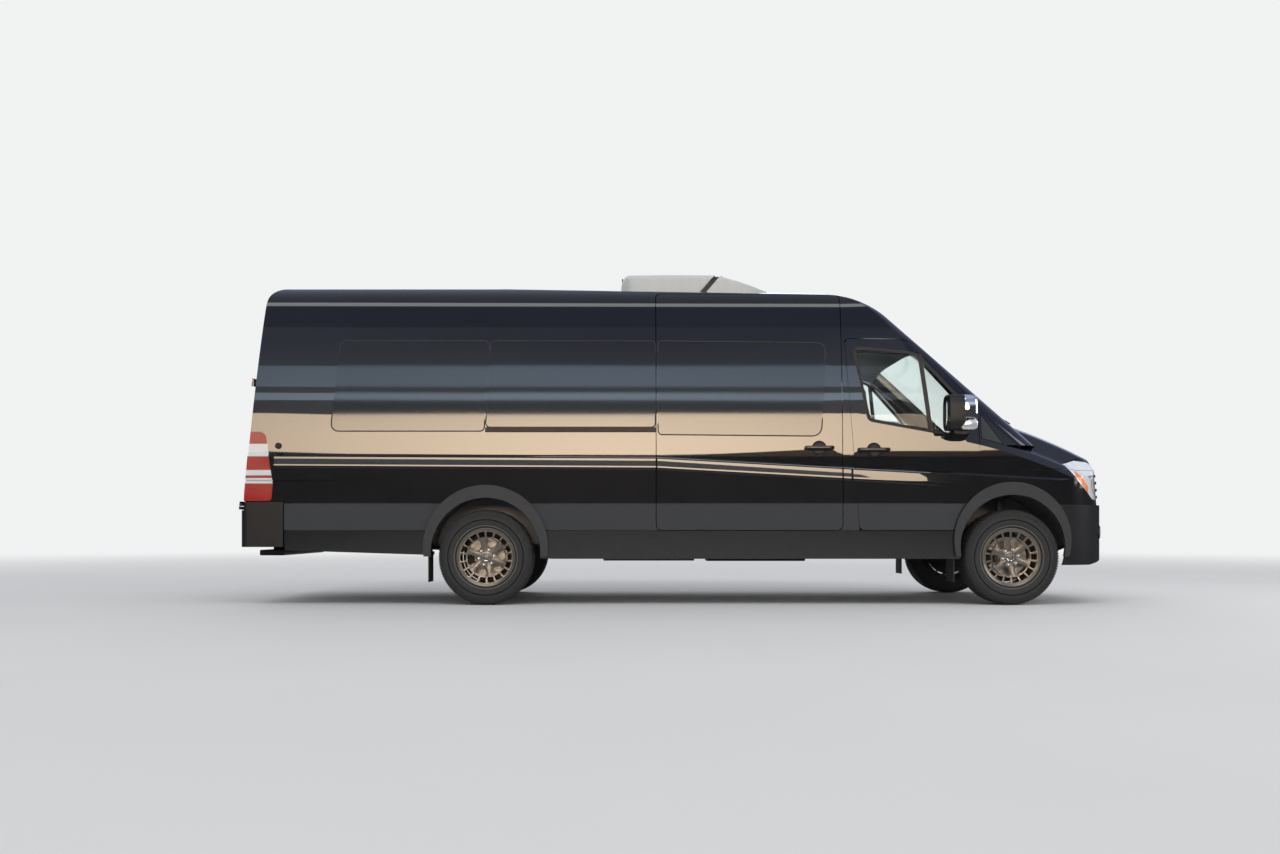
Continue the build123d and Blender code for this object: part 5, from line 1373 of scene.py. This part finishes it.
@dataclass
class DoorHandle:
    """Bar handle across a round finger cup."""

    name: str
    side: Side
    body: str
    x: float
    z: float
    length: float = 0.258
    cup: float = 0.060
    stand_off: float = 0.030
    bar_half: Point = (0.011, 0.0165)
    foot_share: float = 0.78
    foot_half: Point = (0.018, 0.013)
    foot_reach: float = 0.028
    # Stations of the bar: (share of half its length, share of height, share of thickness)
    stations: tuple[Triple, ...] = (
        (-1.0, 0.2, 0.2), (-0.985, 0.6, 0.5), (-0.94, 0.95, 0.8), (-0.6, 1.0, 1.0), (0.0, 1.0, 1.08),
        (0.6, 1.0, 1.0), (0.94, 0.95, 0.8), (0.985, 0.6, 0.5), (1.0, 0.2, 0.2),
    )

    def build(self) -> None:
        """Makes the cup and the bar."""
        cup = self.cup
        profile = (
            (cup, -0.001), (cup, 0.002), (cup - 0.004, 0.0035), (cup - 0.008, 0.001), (cup * 0.6, 0.0015),
            (0.004, 0.001),
        )
        rim = Form().loft(wall_disc(self.side, self.x, self.z, profile, 48))
        rim.dress(f"{self.name}_cup", BLACK_TRIM, body=self.body)
        half = self.length / 2
        bar_y, bar_z = self.bar_half
        foot_x, foot_z = self.foot_half
        rings = []
        for share, tall, thick in self.stations:
            middle = on_wall(self.side, self.x + share * half, self.z, self.stand_off)
            rings.append(oval(middle, (0, bar_y * thick, 0), (0, 0, bar_z * tall), 2.6, 20))
        bar = Form().loft(rings)
        for share in (-self.foot_share, self.foot_share):
            middle = on_wall(self.side, self.x + share * half, self.z, 0.0)
            foot = oval(middle, (foot_x, 0, 0), (0, 0, foot_z), 2.6, 20)
            bar.slab(foot, (0, self.side.value * self.foot_reach, 0))
        bar.dress(f"{self.name}_bar", PAINT, body=self.body)


@dataclass
class CabGlassTrim:
    """Seal and divider of a front door's window."""

    side: Side
    corners: Profile = ((1.378, 2.128), (1.895, 2.080), (2.285, 1.655), (2.215, 1.395), (1.498, 1.525))
    radii: tuple[float, ...] = (0.040, 0.220, 0.050, 0.060, 0.050)
    bar_top: Point = (1.925, 2.070)
    bar_run: Point = (0.078, -0.622)

    def build(self) -> None:
        """Makes the seal and the divider bar."""
        word = self.side.word
        body = f"front_door_{word}_body"
        seal = Form()
        strip(seal, self.side, rounded(self.corners, self.radii, 10), 0.026, 0.004)
        seal.dress(f"front_window_{word}_seal", RUBBER, body=body)
        edges = ((-0.019, -0.004), (-0.017, 0.004), (0.017, 0.004), (0.019, -0.004))
        rings = []
        for t in shares(8):
            x, z = (start + run * t for start, run in zip(self.bar_top, self.bar_run))
            rings.append([on_wall(self.side, x + aside, z, proud) for aside, proud in edges])
        Form().loft(rings).dress(f"front_window_{word}_divider", BLACK_TRIM, body=body, bevel=0.0015)


@dataclass
class SideTrim:
    """Gaskets round the flush side panes, door-stop buffers and the soft fold under the ledge."""

    panes: tuple[tuple[tuple[Point, ...], tuple[float, ...]], ...] = (
        (((-2.864, 2.185), (-1.634, 2.185), (-1.672, 1.431), (-2.936, 1.431)), (0.07, 0.04, 0.04, 0.07)),
        (((-1.622, 2.185), (-0.262, 2.185), (-0.262, 1.463), (-1.660, 1.463)), (0.04, 0.04, 0.04, 0.04)),
        (((-0.240, 2.185), (1.152, 2.170), (1.104, 1.390), (-0.240, 1.403)), (0.04, 0.09, 0.09, 0.04)),
    )
    buffer: Point = (-3.362, 1.310)
    dome: Profile = ((0.026, -0.001), (0.026, 0.0081), (0.02392, 0.0144), (0.0182, 0.01746), (0.0026, 0.018))
    # Lengths of the fold between the seams: (name, body, rear end, front end)
    spans: tuple[tuple[str, str, float, float], ...] = (
        ("wall", "van_body", -3.392, -0.260),
        ("slider", "van_body", -0.247, 1.270),
        ("pillar", "van_body", 1.282, 1.345),
        ("door", "front_door", 1.362, 2.250),
    )
    fade: Point = (1.40, 2.252)
    # Section of the fold: (drop below the ledge, proud)
    profile: Profile = (
        (-0.018, -0.003), (-0.020, 0.0005), (-0.050, 0.0030), (-0.078, 0.0066), (-0.092, 0.0080),
        (-0.100, 0.0080), (-0.106, 0.0062), (-0.112, 0.0010), (-0.114, -0.003),
    )

    def fold(self, side: Side, x: float) -> Ring:
        """Section of the fold, which fades out on the front door.

        Args:
            side: Side of the van.
            x: Place along the van.

        Returns:
            Points of the section.
        """
        start, end = self.fade
        left = 1.0 - max(0.0, (x - start) / (end - start)) ** 1.5
        ring = []
        for drop, proud in self.profile:
            lift = proud * left if proud > 0 else proud
            ring.append(Vector((x, side.value * (SIDE_HALF + lift), shoulder_z(x) + drop)))
        return ring

    def build(self) -> None:
        """Makes the trim of both sides."""
        for side in Side:
            seals = Form()
            for corners, radii in self.panes:
                strip(seals, side, rounded(corners, radii, 8), 0.010, 0.0018)
            seals.dress(f"side_pane_seals_{side.word}", RUBBER)
        for side in Side:
            stop = Form().loft(wall_disc(side, *self.buffer, self.dome, 32))
            stop.dress(f"side_fittings_{side.word}", RUBBER)
        for side in Side:
            for name, body, low, high in self.spans:
                steps = max(4, round((high - low) / 0.06))
                stations = [low + (high - low) * k / steps for k in range(steps + 1)]
                form = Form().loft([self.fold(side, x) for x in stations])
                where = body if body == "van_body" else f"{body}_{side.word}_body"
                form.dress(f"side_fold_{name}_{side.word}", PAINT, body=where)


@dataclass
class Seat:
    """Cab seat: crowned cushion, back and headrest in cloth with cross channels."""

    name: str
    y: float
    half: float = 0.235
    head_half: float = 0.125
    # Pads: (name, first end, last end, direction of the thickness, half thickness, tightness)
    pads: tuple[tuple[str, Point, Point, Triple, float, float], ...] = (
        ("seat_pad", (1.572, 1.047), (2.022, 1.052), (0, 0, 1), 0.060, 0.7),
        ("seat_back", (1.625, 1.085), (1.552, 1.625), (0.96, 0, 0.28), 0.052, 0.7),
        ("headrest", (1.545, 1.635), (1.520, 1.838), (0.96, 0, 0.28), 0.040, 0.8),
    )

    def build(self) -> None:
        """Makes the three pads."""
        for word, low, high, direction, half_thick, fill in self.pads:
            first = Vector((low[0], self.y, low[1]))
            last = Vector((high[0], self.y, high[1]))
            across = Vector((0, self.head_half if word == "headrest" else self.half, 0))
            rings = []
            for t in shares(14):
                bulge = (1 - abs(2 * t - 1) ** 4) ** 0.35
                width = (0.93 + 0.07 * math.sin(math.pi * t)) * (0.88 + 0.12 * bulge)
                channel = 1.0 - 0.05 * (abs(((t * 4) % 1) - 0.5) > 0.42) * (0 < t < 1)
                thick = Vector(direction) * half_thick * max(0.25, bulge) * channel
                rings.append(oval(first.lerp(last, 0.02 + 0.96 * t), across * width, thick, 3.4, 36))
            pad = Form().loft(rings).dress(f"{word}_{self.name}", CLOTH, nodes=("seat_cushions",), divide=1)


@dataclass
class CabFittings:
    """Hood over the dials, screen and headliner."""

    dials: Triple = (2.355, 0.47, 1.305)
    dials_half: float = 0.19
    screen: tuple[Point, Point] = ((-0.13, 1.21), (0.13, 1.35))
    screen_x: float = 2.262
    screen_depth: float = 0.022
    liner_half: float = 0.80
    liner_z: float = 2.165
    # Section of the headliner: (x, height over its middle line)
    liner: Profile = ((1.30, 0.0), (1.94, -0.035), (1.94, -0.015), (1.30, 0.02))

    def build(self) -> None:
        """Makes the fittings."""
        x, y, z = self.dials
        rings = []
        for t in (-1.0, -0.92, -0.5, 0.0, 0.5, 0.92, 1.0):
            tall = 0.055 * (1 - abs(t) ** 4) + 0.006
            rings.append(oval((x, y + self.dials_half * t, z), (0.085, 0, 0.01), (0, 0, tall), 2.6, 28))
        Form().loft(rings).dress("dial_hood", DASH)
        outline = [Vector((self.screen_x, y, z)) for y, z in rounded(box(*self.screen), 0.012, 4)]
        Form().slab(outline, (self.screen_depth, 0, 0)).dress("dash_screen", PRIVACY, bevel=0.002)
        rings = []
        for t in shares(12):
            y = self.liner_half * (2 * t - 1)
            z = self.liner_z - 0.055 * (y / self.liner_half) ** 4
            rings.append([Vector((x, y, z + rise)) for x, rise in self.liner])
        Form().loft(rings).dress("headliner", DASH)


@dataclass
class Face:
    """Grille bars, intake mesh, fog lamps and wipers, along a nose that is an arc in the plan."""

    plan_radius: float = 1.515
    # Grille bars: (height, half length, forward place)
    grille: tuple[Triple, ...] = (
        (1.080, 0.520, 3.632), (1.020, 0.545, 3.638), (0.960, 0.535, 3.643), (0.900, 0.505, 3.647),
    )
    intake_x: float = 3.640
    intake_half: float = 0.60
    intake_z: float = 0.580
    strip_x: float = 3.655
    fog_lamp_x: float = 3.6725
    # Windshield's middle line: (place along the van, height), then its fall and its bow across the van
    glass: Point = (2.5, 1.8323)
    glass_fall: float = 0.8715
    glass_bow: float = 0.237
    glass_out: Point = (0.657, 0.754)
    # Bumper strips: (height, half length, thickness, finish number)
    strips: tuple[tuple[float, float, float, int], ...] = (
        (0.678, 0.575, 0.010, 1), (0.620, 0.585, 0.022, 0), (0.560, 0.590, 0.012, 1),
        (0.510, 0.575, 0.022, 0),
    )
    fog_lamp: Point = (0.72, 0.600)
    # Fog lamp's bezel and lens: (radius, finish number, profile of share of the radius and proud)
    fog_rings: tuple[tuple[float, int, Profile], ...] = (
        (0.056, 1, ((1.0, -0.004), (1.0, 0.006), (0.90, 0.010), (0.82, 0.003))),
        (0.046, 0, ((1.0, -0.004), (1.0, 0.006), (0.8, 0.009), (0.1, 0.010))),
    )
    # Wipers: (low end, high end, pivot) across the van
    wipers: tuple[Triple, ...] = ((-0.66, -0.06, -0.12), (0.04, 0.64, 0.56))

    def nose_at(self, y: float, forward: float) -> float:
        """Place of the nose's surface at a distance from the middle."""
        return forward - (self.plan_radius - math.sqrt(self.plan_radius**2 - y**2))

    def bar(
        self, form: Form, z: float, half: float, forward: float, height: float, depth: float, mark: int
    ) -> None:
        """One bar that follows the nose in the plan.

        Args:
            form: Form that gathers the bar.
            z: Height of its middle.
            half: Half its length.
            forward: Forward place of its middle.
            height: Its height.
            depth: Half its depth.
            mark: Finish number.
        """
        rings = []
        for t in shares(24):
            y = half * (2 * t - 1)
            rings.append(oval((self.nose_at(y, forward), y, z), (depth, 0, 0), (0, 0, height / 2), 3.0, 16))
        form.loft(rings, mark)

    def intake(self, y: float) -> Ring:
        """Section of the intake mesh, lower near its ends.

        Args:
            y: Place across the van.

        Returns:
            Points of the section.
        """
        x = self.nose_at(y, self.intake_x)
        half = 0.108 - 0.05 * abs(y / self.intake_half) ** 6
        corners = ((0, -half), (0, half), (-0.006, half), (-0.006, -half))
        return [Vector((x + a, y, self.intake_z + b)) for a, b in corners]

    def build(self) -> None:
        """Makes the grille bars, the intake mesh and strips, the fog lamps and the wipers."""
        bars = Form()
        for z, half, forward in self.grille:
            self.bar(bars, z, half, forward, 0.026, 0.010, 0)
            self.bar(bars, z + 0.010, half * 0.985, forward + 0.003, 0.004, 0.009, 1)
        bars.dress("grille_bars", BLACK_TRIM, CHROME)
        mesh = Form().loft([self.intake(self.intake_half * (2 * t - 1)) for t in shares(24)])
        mesh.dress("bumper_intake", MESH)
        strips = Form()
        for z, half, height, mark in self.strips:
            self.bar(strips, z, half, self.strip_x, height, 0.009, mark)
        strips.dress("bumper_strips", BLACK_TRIM, CHROME)
        lamps = Form()
        for side in Side:
            for radius, mark, profile in self.fog_rings:
                self.disc(lamps, side.value, radius, profile, mark)
        lamps.dress("fog_lamps", LAMP, BLACK_TRIM)
        wipers = Form()
        for ends in self.wipers:
            self.wiper(wipers, *ends)
        wipers.dress("wipers", BLACK_TRIM)

    def disc(self, form: Form, sign: int, radius: float, profile: Profile, mark: int) -> None:
        """Round fitting that stands square on the curved nose, at the fog lamp's place.

        Args:
            form: Form that gathers the fitting.
            sign: Side of the van, as the sign of its Y.
            radius: Radius of the fitting.
            profile: Points of (share of the radius, proud).
            mark: Finish number.
        """
        y, z = self.fog_lamp
        outward = Vector((math.sqrt(self.plan_radius**2 - y**2), sign * y, 0)) / self.plan_radius
        across = Vector((-outward.y, outward.x, 0))
        middle = Vector((self.nose_at(y, self.fog_lamp_x), sign * y, z))
        sizes = [(radius * share, proud) for share, proud in profile]
        rings = [oval(middle + outward * proud, across * r, (0, 0, r), 2.0, 40) for r, proud in sizes]
        form.loft(rings, mark)

    def glass_at(self, x: float, y: float, proud: float) -> Vector:
        """Point over the windshield."""
        z = self.glass[1] - self.glass_fall * (x - self.glass[0]) - self.glass_bow * y**2
        return Vector((x + self.glass_out[0] * proud, y, z + self.glass_out[1] * proud))

    def wiper(self, form: Form, y_low: float, y_high: float, pivot: float) -> None:
        """Blade that rests low on the windshield, with its arm and hub.

        Args:
            form: Form that gathers the wiper.
            y_low: Place of one end across the van.
            y_high: Place of the other end.
            pivot: Place of the hub across the van.
        """
        rings = []
        for t in shares(12):
            middle = self.glass_at(2.752 - 0.035 * t, y_low + (y_high - y_low) * t, 0.014)
            size = 1.0 if 0 < t < 1 else 0.6
            thick = Vector((0.004, 0, 0.005)) * size
            rings.append(oval(middle, (0.007 * size, 0, -0.006 * size), thick, 3.0, 12))
        form.loft(rings)
        foot = self.glass_at(2.835, pivot, 0.0) + Vector((0, 0, 0.020))
        tip = self.glass_at(2.735, (y_low + y_high) / 2, 0.026)
        rings = []
        for t in shares(8):
            middle = foot.lerp(tip, t) + Vector((0, 0, 0.010 * math.sin(math.pi * t)))
            rings.append(oval(middle, (0.010 * (1 - 0.4 * t), 0, 0), (0, 0, 0.005), 2.6, 12))
        form.loft(rings)
        hub = ((-0.020, 0.016), (0.008, 0.016), (0.012, 0.010))
        form.loft([oval(foot + Vector((0, 0, rise)), (s, 0, 0), (0, s, 0), 2.0, 20) for rise, s in hub])


@dataclass
class Tail:
    """Blank rear plate, handle, high brake lamp, reflectors and step."""

    low: Point = (-3.640, 0.900)
    high: Point = (-3.502, 2.442)
    frame: Point = (-3.4968, 2.5)
    frame_lean: float = 0.12
    # Panels on the rear doors: (name, side, bevel, rows of opposite corners, corner radius, proud, finish)
    panels: tuple = (
        ("rear_plate", Side.LEFT, 0.001, (
            ((0.10, 0.93), (0.66, 1.08), 0.015, 0.004, BLACK_TRIM),
            ((0.12, 0.945), (0.64, 1.065), 0.010, 0.007, PLATE),
        )),
        ("rear_handle", Side.RIGHT, 0.004, (((-0.20, 1.305), (-0.06, 1.345), 0.016, 0.009, BLACK_TRIM),)),
    )

    def door_x(self, z: float) -> float:
        """Place of the rear doors' surface at a height."""
        t = (z - self.low[1]) / (self.high[1] - self.low[1])
        return self.low[0] + (self.high[0] - self.low[0]) * t

    def lamp_x(self, z: float) -> float:
        """Place of the rear frame's surface over the doors."""
        return self.frame[0] + (z - self.frame[1]) * self.frame_lean

    def build(self) -> None:
        """Makes the fittings of the rear doors, the frame and the bumper."""
        for name, side, bevel, rows in self.panels:
            form = Form()
            for mark, (low, high, radius, proud, _) in enumerate(rows):
                outline = rounded(box(low, high), radius, 5)
                rings = [[Vector((self.door_x(z) + d, y, z)) for y, z in outline] for d in (0.003, -proud)]
                form.loft(rings, mark)
            finishes = [row[-1] for row in rows]
            form.dress(f"{name}_{side.word}", *finishes, body=f"rear_door_{side.word}_body", bevel=bevel)
        outline = rounded(box((-0.17, 2.498), (0.17, 2.532)), 0.008, 5)
        rings = [[Vector((self.lamp_x(z) + d, y, z)) for y, z in outline] for d in (0.004, -0.006)]
        Form().loft(rings).dress("high_brake_lamp", REFLECTOR, bevel=0.003)
        marks = Form()
        outline = rounded(box((0.80, 0.535), (0.915, 0.575)), 0.006, 4)
        for side in Side:
            marks.loft([[Vector((x, side.value * y, z)) for y, z in outline] for x in (-3.668, -3.6742)])
        marks.dress("rear_reflectors", REFLECTOR, bevel=0.0005)
        outline = rounded(box((-3.630, 0.400), (-3.420, 0.448)), 0.012, 4)
        step = Form().loft([[Vector((x, y, z)) for x, z in outline] for y in (-0.62, 0.62)])
        brace = ((-3.56, 0.43), (-3.40, 0.43), (-3.40, 0.52), (-3.56, 0.50))
        for y in (-0.45, 0.45):
            step.loft([[Vector((x, y + d, z)) for x, z in brace] for d in (-0.02, 0.02)])
        step.dress("rear_step", BLACK_TRIM, bevel=0.003)


class Van:
    """The whole van: finishes of the carried nodes and every added piece."""

    FINISHES: tuple[tuple[Finish, str], ...] = (
        (PAINT, "side_wall_left side_wall_right rear_frame roof cab_frame fenders hood sliding_door"),
        (PAINT, "front_door_left front_door_right rear_door_left rear_door_right"),
        (CLEAR, "front_window_left front_window_right windshield"),
        (PRIVACY, "side_windows rear_window_left rear_window_right"),
        (MESH, "grille"), (HEAD, "headlamps"), (TAIL, "tail_lamps"), (SILL, "sill_panels"),
        (TRIM, "arch_flares"), (BLACK_TRIM, "bumper_front bumper_rear seat_bases slide_rail"),
        (FLOOR_MAT, "floor"), (RUBBER, "mudflaps"),
        (CHASSIS, "chassis_frame propeller_shaft fuel_tank rear_axle leaf_springs front_suspension"),
        (IRON, "engine_block knuckle_left knuckle_right"), (EXHAUST, "exhaust"), (DASH, "dashboard"),
        (LEATHER, "steering_wheel"),
    )
    AXLES = (("front", 2.6685), ("rear", -1.6565))

    def build(self) -> None:
        """Finishes the carried nodes and adds the pieces."""
        for finish, names in self.FINISHES:
            for name in names.split():
                finish_node(name, finish)
        for side in Side:
            for end, axle_x in self.AXLES:
                RoadWheel(end, side, axle_x).build()
            DoorMirror(side).build()
            CabGlassTrim(side).build()
            DoorHandle(f"door_handle_{side.word}", side, f"front_door_{side.word}_body", 1.535, 1.277).build()
        DoorHandle("slider_handle", Side.RIGHT, "van_body", 1.085, 1.293, 0.24).build()
        seats = (Seat("left", 0.47), Seat("right", -0.47))
        for group in (SideTrim(), RoofUnit(), *seats, CabFittings(), Face(), Tail()):
            group.build()


@dataclass
class Studio:
    """Pale floor, soft light and the photograph's viewpoint."""

    eye: Triple = (-0.5445, -9.930, 0.630)
    lens: float = 30.66
    shift: Point = (0.0148, 0.0793)
    aim: Triple = (0, 0, 1.2)
    backdrop: Colour = (0.88, 0.885, 0.89)
    light: Colour = (0.62, 0.63, 0.65)
    low_gloss: Colour = (0.050, 0.052, 0.058)
    haze_gloss: Colour = (0.80, 0.92, 1.00)
    middle_gloss: Colour = (0.34, 0.42, 0.56)
    high_gloss: Colour = (0.26, 0.29, 0.46)
    crown_gloss: Colour = (0.45, 0.52, 0.62)
    # Soft lamps aimed at the van: (name, place, size, power)
    lamps: tuple[tuple[str, Triple, Point, float], ...] = (
        ("key", (-1.0, -9.0, 13.0), (16.0, 3.0), 520.0),
        ("fill", (10.0, -3.0, 4.0), (3.0, 5.0), 160.0),
        ("rim", (-2.0, 11.0, 7.0), (16.0, 2.0), 120.0),
    )
    # Level strips that only show in reflections: (name, height, height of the strip, power, tone)
    strips: tuple[tuple[str, float, float, float, Colour], ...] = (
        ("strip", 3.55, 1.5, 260.0, (1.0, 0.78, 0.56)),
        ("haze", 5.00, 0.30, 16.0, (0.66, 0.82, 1.0)),
        ("sky", 5.85, 0.90, 30.0, (0.60, 0.78, 1.0)),
    )
    strip_place: Point = (-0.6, -13.0)
    strip_length: float = 15.5
    strip_spread: float = math.radians(80)

    def camera(self) -> None:
        """Level camera that looks along Y, square to the van's right side."""
        data = bpy.data.cameras.new("view")
        data.lens = self.lens
        data.sensor_width = 36.0
        data.shift_x, data.shift_y = self.shift
        data.clip_end = 400.0
        camera = bpy.data.objects.new("view", data)
        camera.location = self.eye
        camera.rotation_euler = (math.radians(90), 0, 0)
        bpy.context.scene.collection.objects.link(camera)
        bpy.context.scene.camera = camera

    def lamp(self, name: str, place: Triple, aim: Triple, size: Point, power: float) -> bpy.types.Object:
        """Rectangular lamp.

        Args:
            name: Name of the lamp.
            place: Its middle.
            aim: Point that it faces.
            size: Its length and height.
            power: Its power in watts.

        Returns:
            The lamp.
        """
        data = bpy.data.lights.new(name, "AREA")
        data.shape = "RECTANGLE"
        data.size, data.size_y = size
        data.energy = power
        lamp = bpy.data.objects.new(name, data)
        lamp.location = place
        lamp.rotation_euler = (Vector(aim) - Vector(place)).to_track_quat("-Z", "Y").to_euler()
        bpy.context.scene.collection.objects.link(lamp)
        return lamp

    def light_up(self) -> None:
        """Places all lamps."""
        for name, place, size, power in self.lamps:
            self.lamp(name, place, self.aim, size, power)
        x, y = self.strip_place
        for name, z, height, power, tone in self.strips:
            lamp = self.lamp(name, (x, y, z), (x, 0, z), (self.strip_length, height), power)
            lamp.data.color = tone
            lamp.data.spread = self.strip_spread
            lamp.visible_diffuse = False

    def world(self) -> None:
        """Pale surroundings for the camera and glass, with a bright low band over darker tones for gloss."""
        world = bpy.data.worlds.new("studio")
        bpy.context.scene.world = world
        world.use_nodes = True
        net = Net(world.node_tree)
        direction = net.add("ShaderNodeTexCoord")["Generated"]
        up = net.add("ShaderNodeSeparateXYZ", None, {0: direction})["Z"]
        level = {"Vector": direction, "Scale": (1.2, 1.2, 9.0)}
        streaks = net.add("ShaderNodeMapping", None, level)["Vector"]
        cloud = net.add("ShaderNodeTexNoise", None, {"Vector": streaks, "Scale": 2.2, "Detail": 3.0})[0]
        middle = up.above(0.20, 0.06)
        high = (up + cloud * 0.10).above(0.44, 0.10)
        crown = up.above(0.80, 0.20)
        sky = net.mix(high, net.mix(cloud, self.haze_gloss, self.middle_gloss), self.high_gloss)
        gloss = net.mix(crown, net.mix(middle, self.low_gloss, sky), self.crown_gloss)
        shown, glossy = self.rays(net)
        pale = net.mix(shown.above(0.5, 0.1), gloss, self.backdrop)
        node = world.node_tree.nodes["Background"]
        net.feed(node.inputs["Color"], net.mix((shown + glossy).above(0.5, 0.1), self.light, pale))

    def rays(self, net: Net) -> tuple[Wire, Wire]:
        """Whether the ray comes from the camera or through glass, and whether it is a reflection."""
        path = net.add("ShaderNodeLightPath")
        return path["Is Camera Ray"] + path["Is Transmission Ray"], path["Is Glossy Ray"]

    def ground(self) -> bpy.types.Material:
        """Pale floor that fades into the backdrop away from the van, sooner in reflections.

        Returns:
            The floor's material.
        """
        floor = Finish(
            "pale_floor", (0.74, 0.74, 0.73), (0.78, 0.78, 0.775), (0.75, 0.9), patch=1.5, grain=0.02
        )
        material = floor.material()
        net = Net(material.node_tree)
        place = net.add("ShaderNodeTexCoord")["Object"]
        away = net.add("ShaderNodeVectorMath", {"operation": "LENGTH"}, {0: place})["Value"]
        shown, glossy = self.rays(net)
        colour = net.mix(shown.above(0.5, 0.1), self.low_gloss, self.backdrop)
        glow = net.add("ShaderNodeEmission", None, {"Color": colour})["Emission"]
        surface = material.node_tree.nodes["Principled BSDF"].outputs[0]
        fade = away.above(15.0, 9.0) * shown + away.above(5.0, 2.5) * (glossy * (1.0 - shown))
        blend = net.add("ShaderNodeMixShader", None, {0: fade, 1: Wire(net, surface), 2: glow})
        net.feed(material.node_tree.nodes["Material Output"].inputs["Surface"], blend["Shader"])
        return material

    def floor(self) -> None:
        """Round floor sheet."""
        radii = (0.0, 0.5, 6.0, 14.0, 40.0, 120.0)
        turns = [k * math.pi / 32 for k in range(64)]
        rings = [[Vector((r * math.cos(a), r * math.sin(a), 0)) for a in turns] for r in radii]
        floor = Form().loft(rings, ends=False).piece("floor_sheet", ())
        floor.data.materials.append(self.ground())

    def build(self) -> None:
        """Sets the camera, the surroundings, the floor and the lamps."""
        bpy.context.scene.view_settings.view_transform = "Standard"
        self.camera()
        self.world()
        self.floor()
        self.light_up()


def main() -> None:
    """Builds the studio and the van."""
    logging.basicConfig(level=logging.INFO, format="%(message)s")
    Studio().build()
    Van().build()


if __name__ == "__main__":
    main()
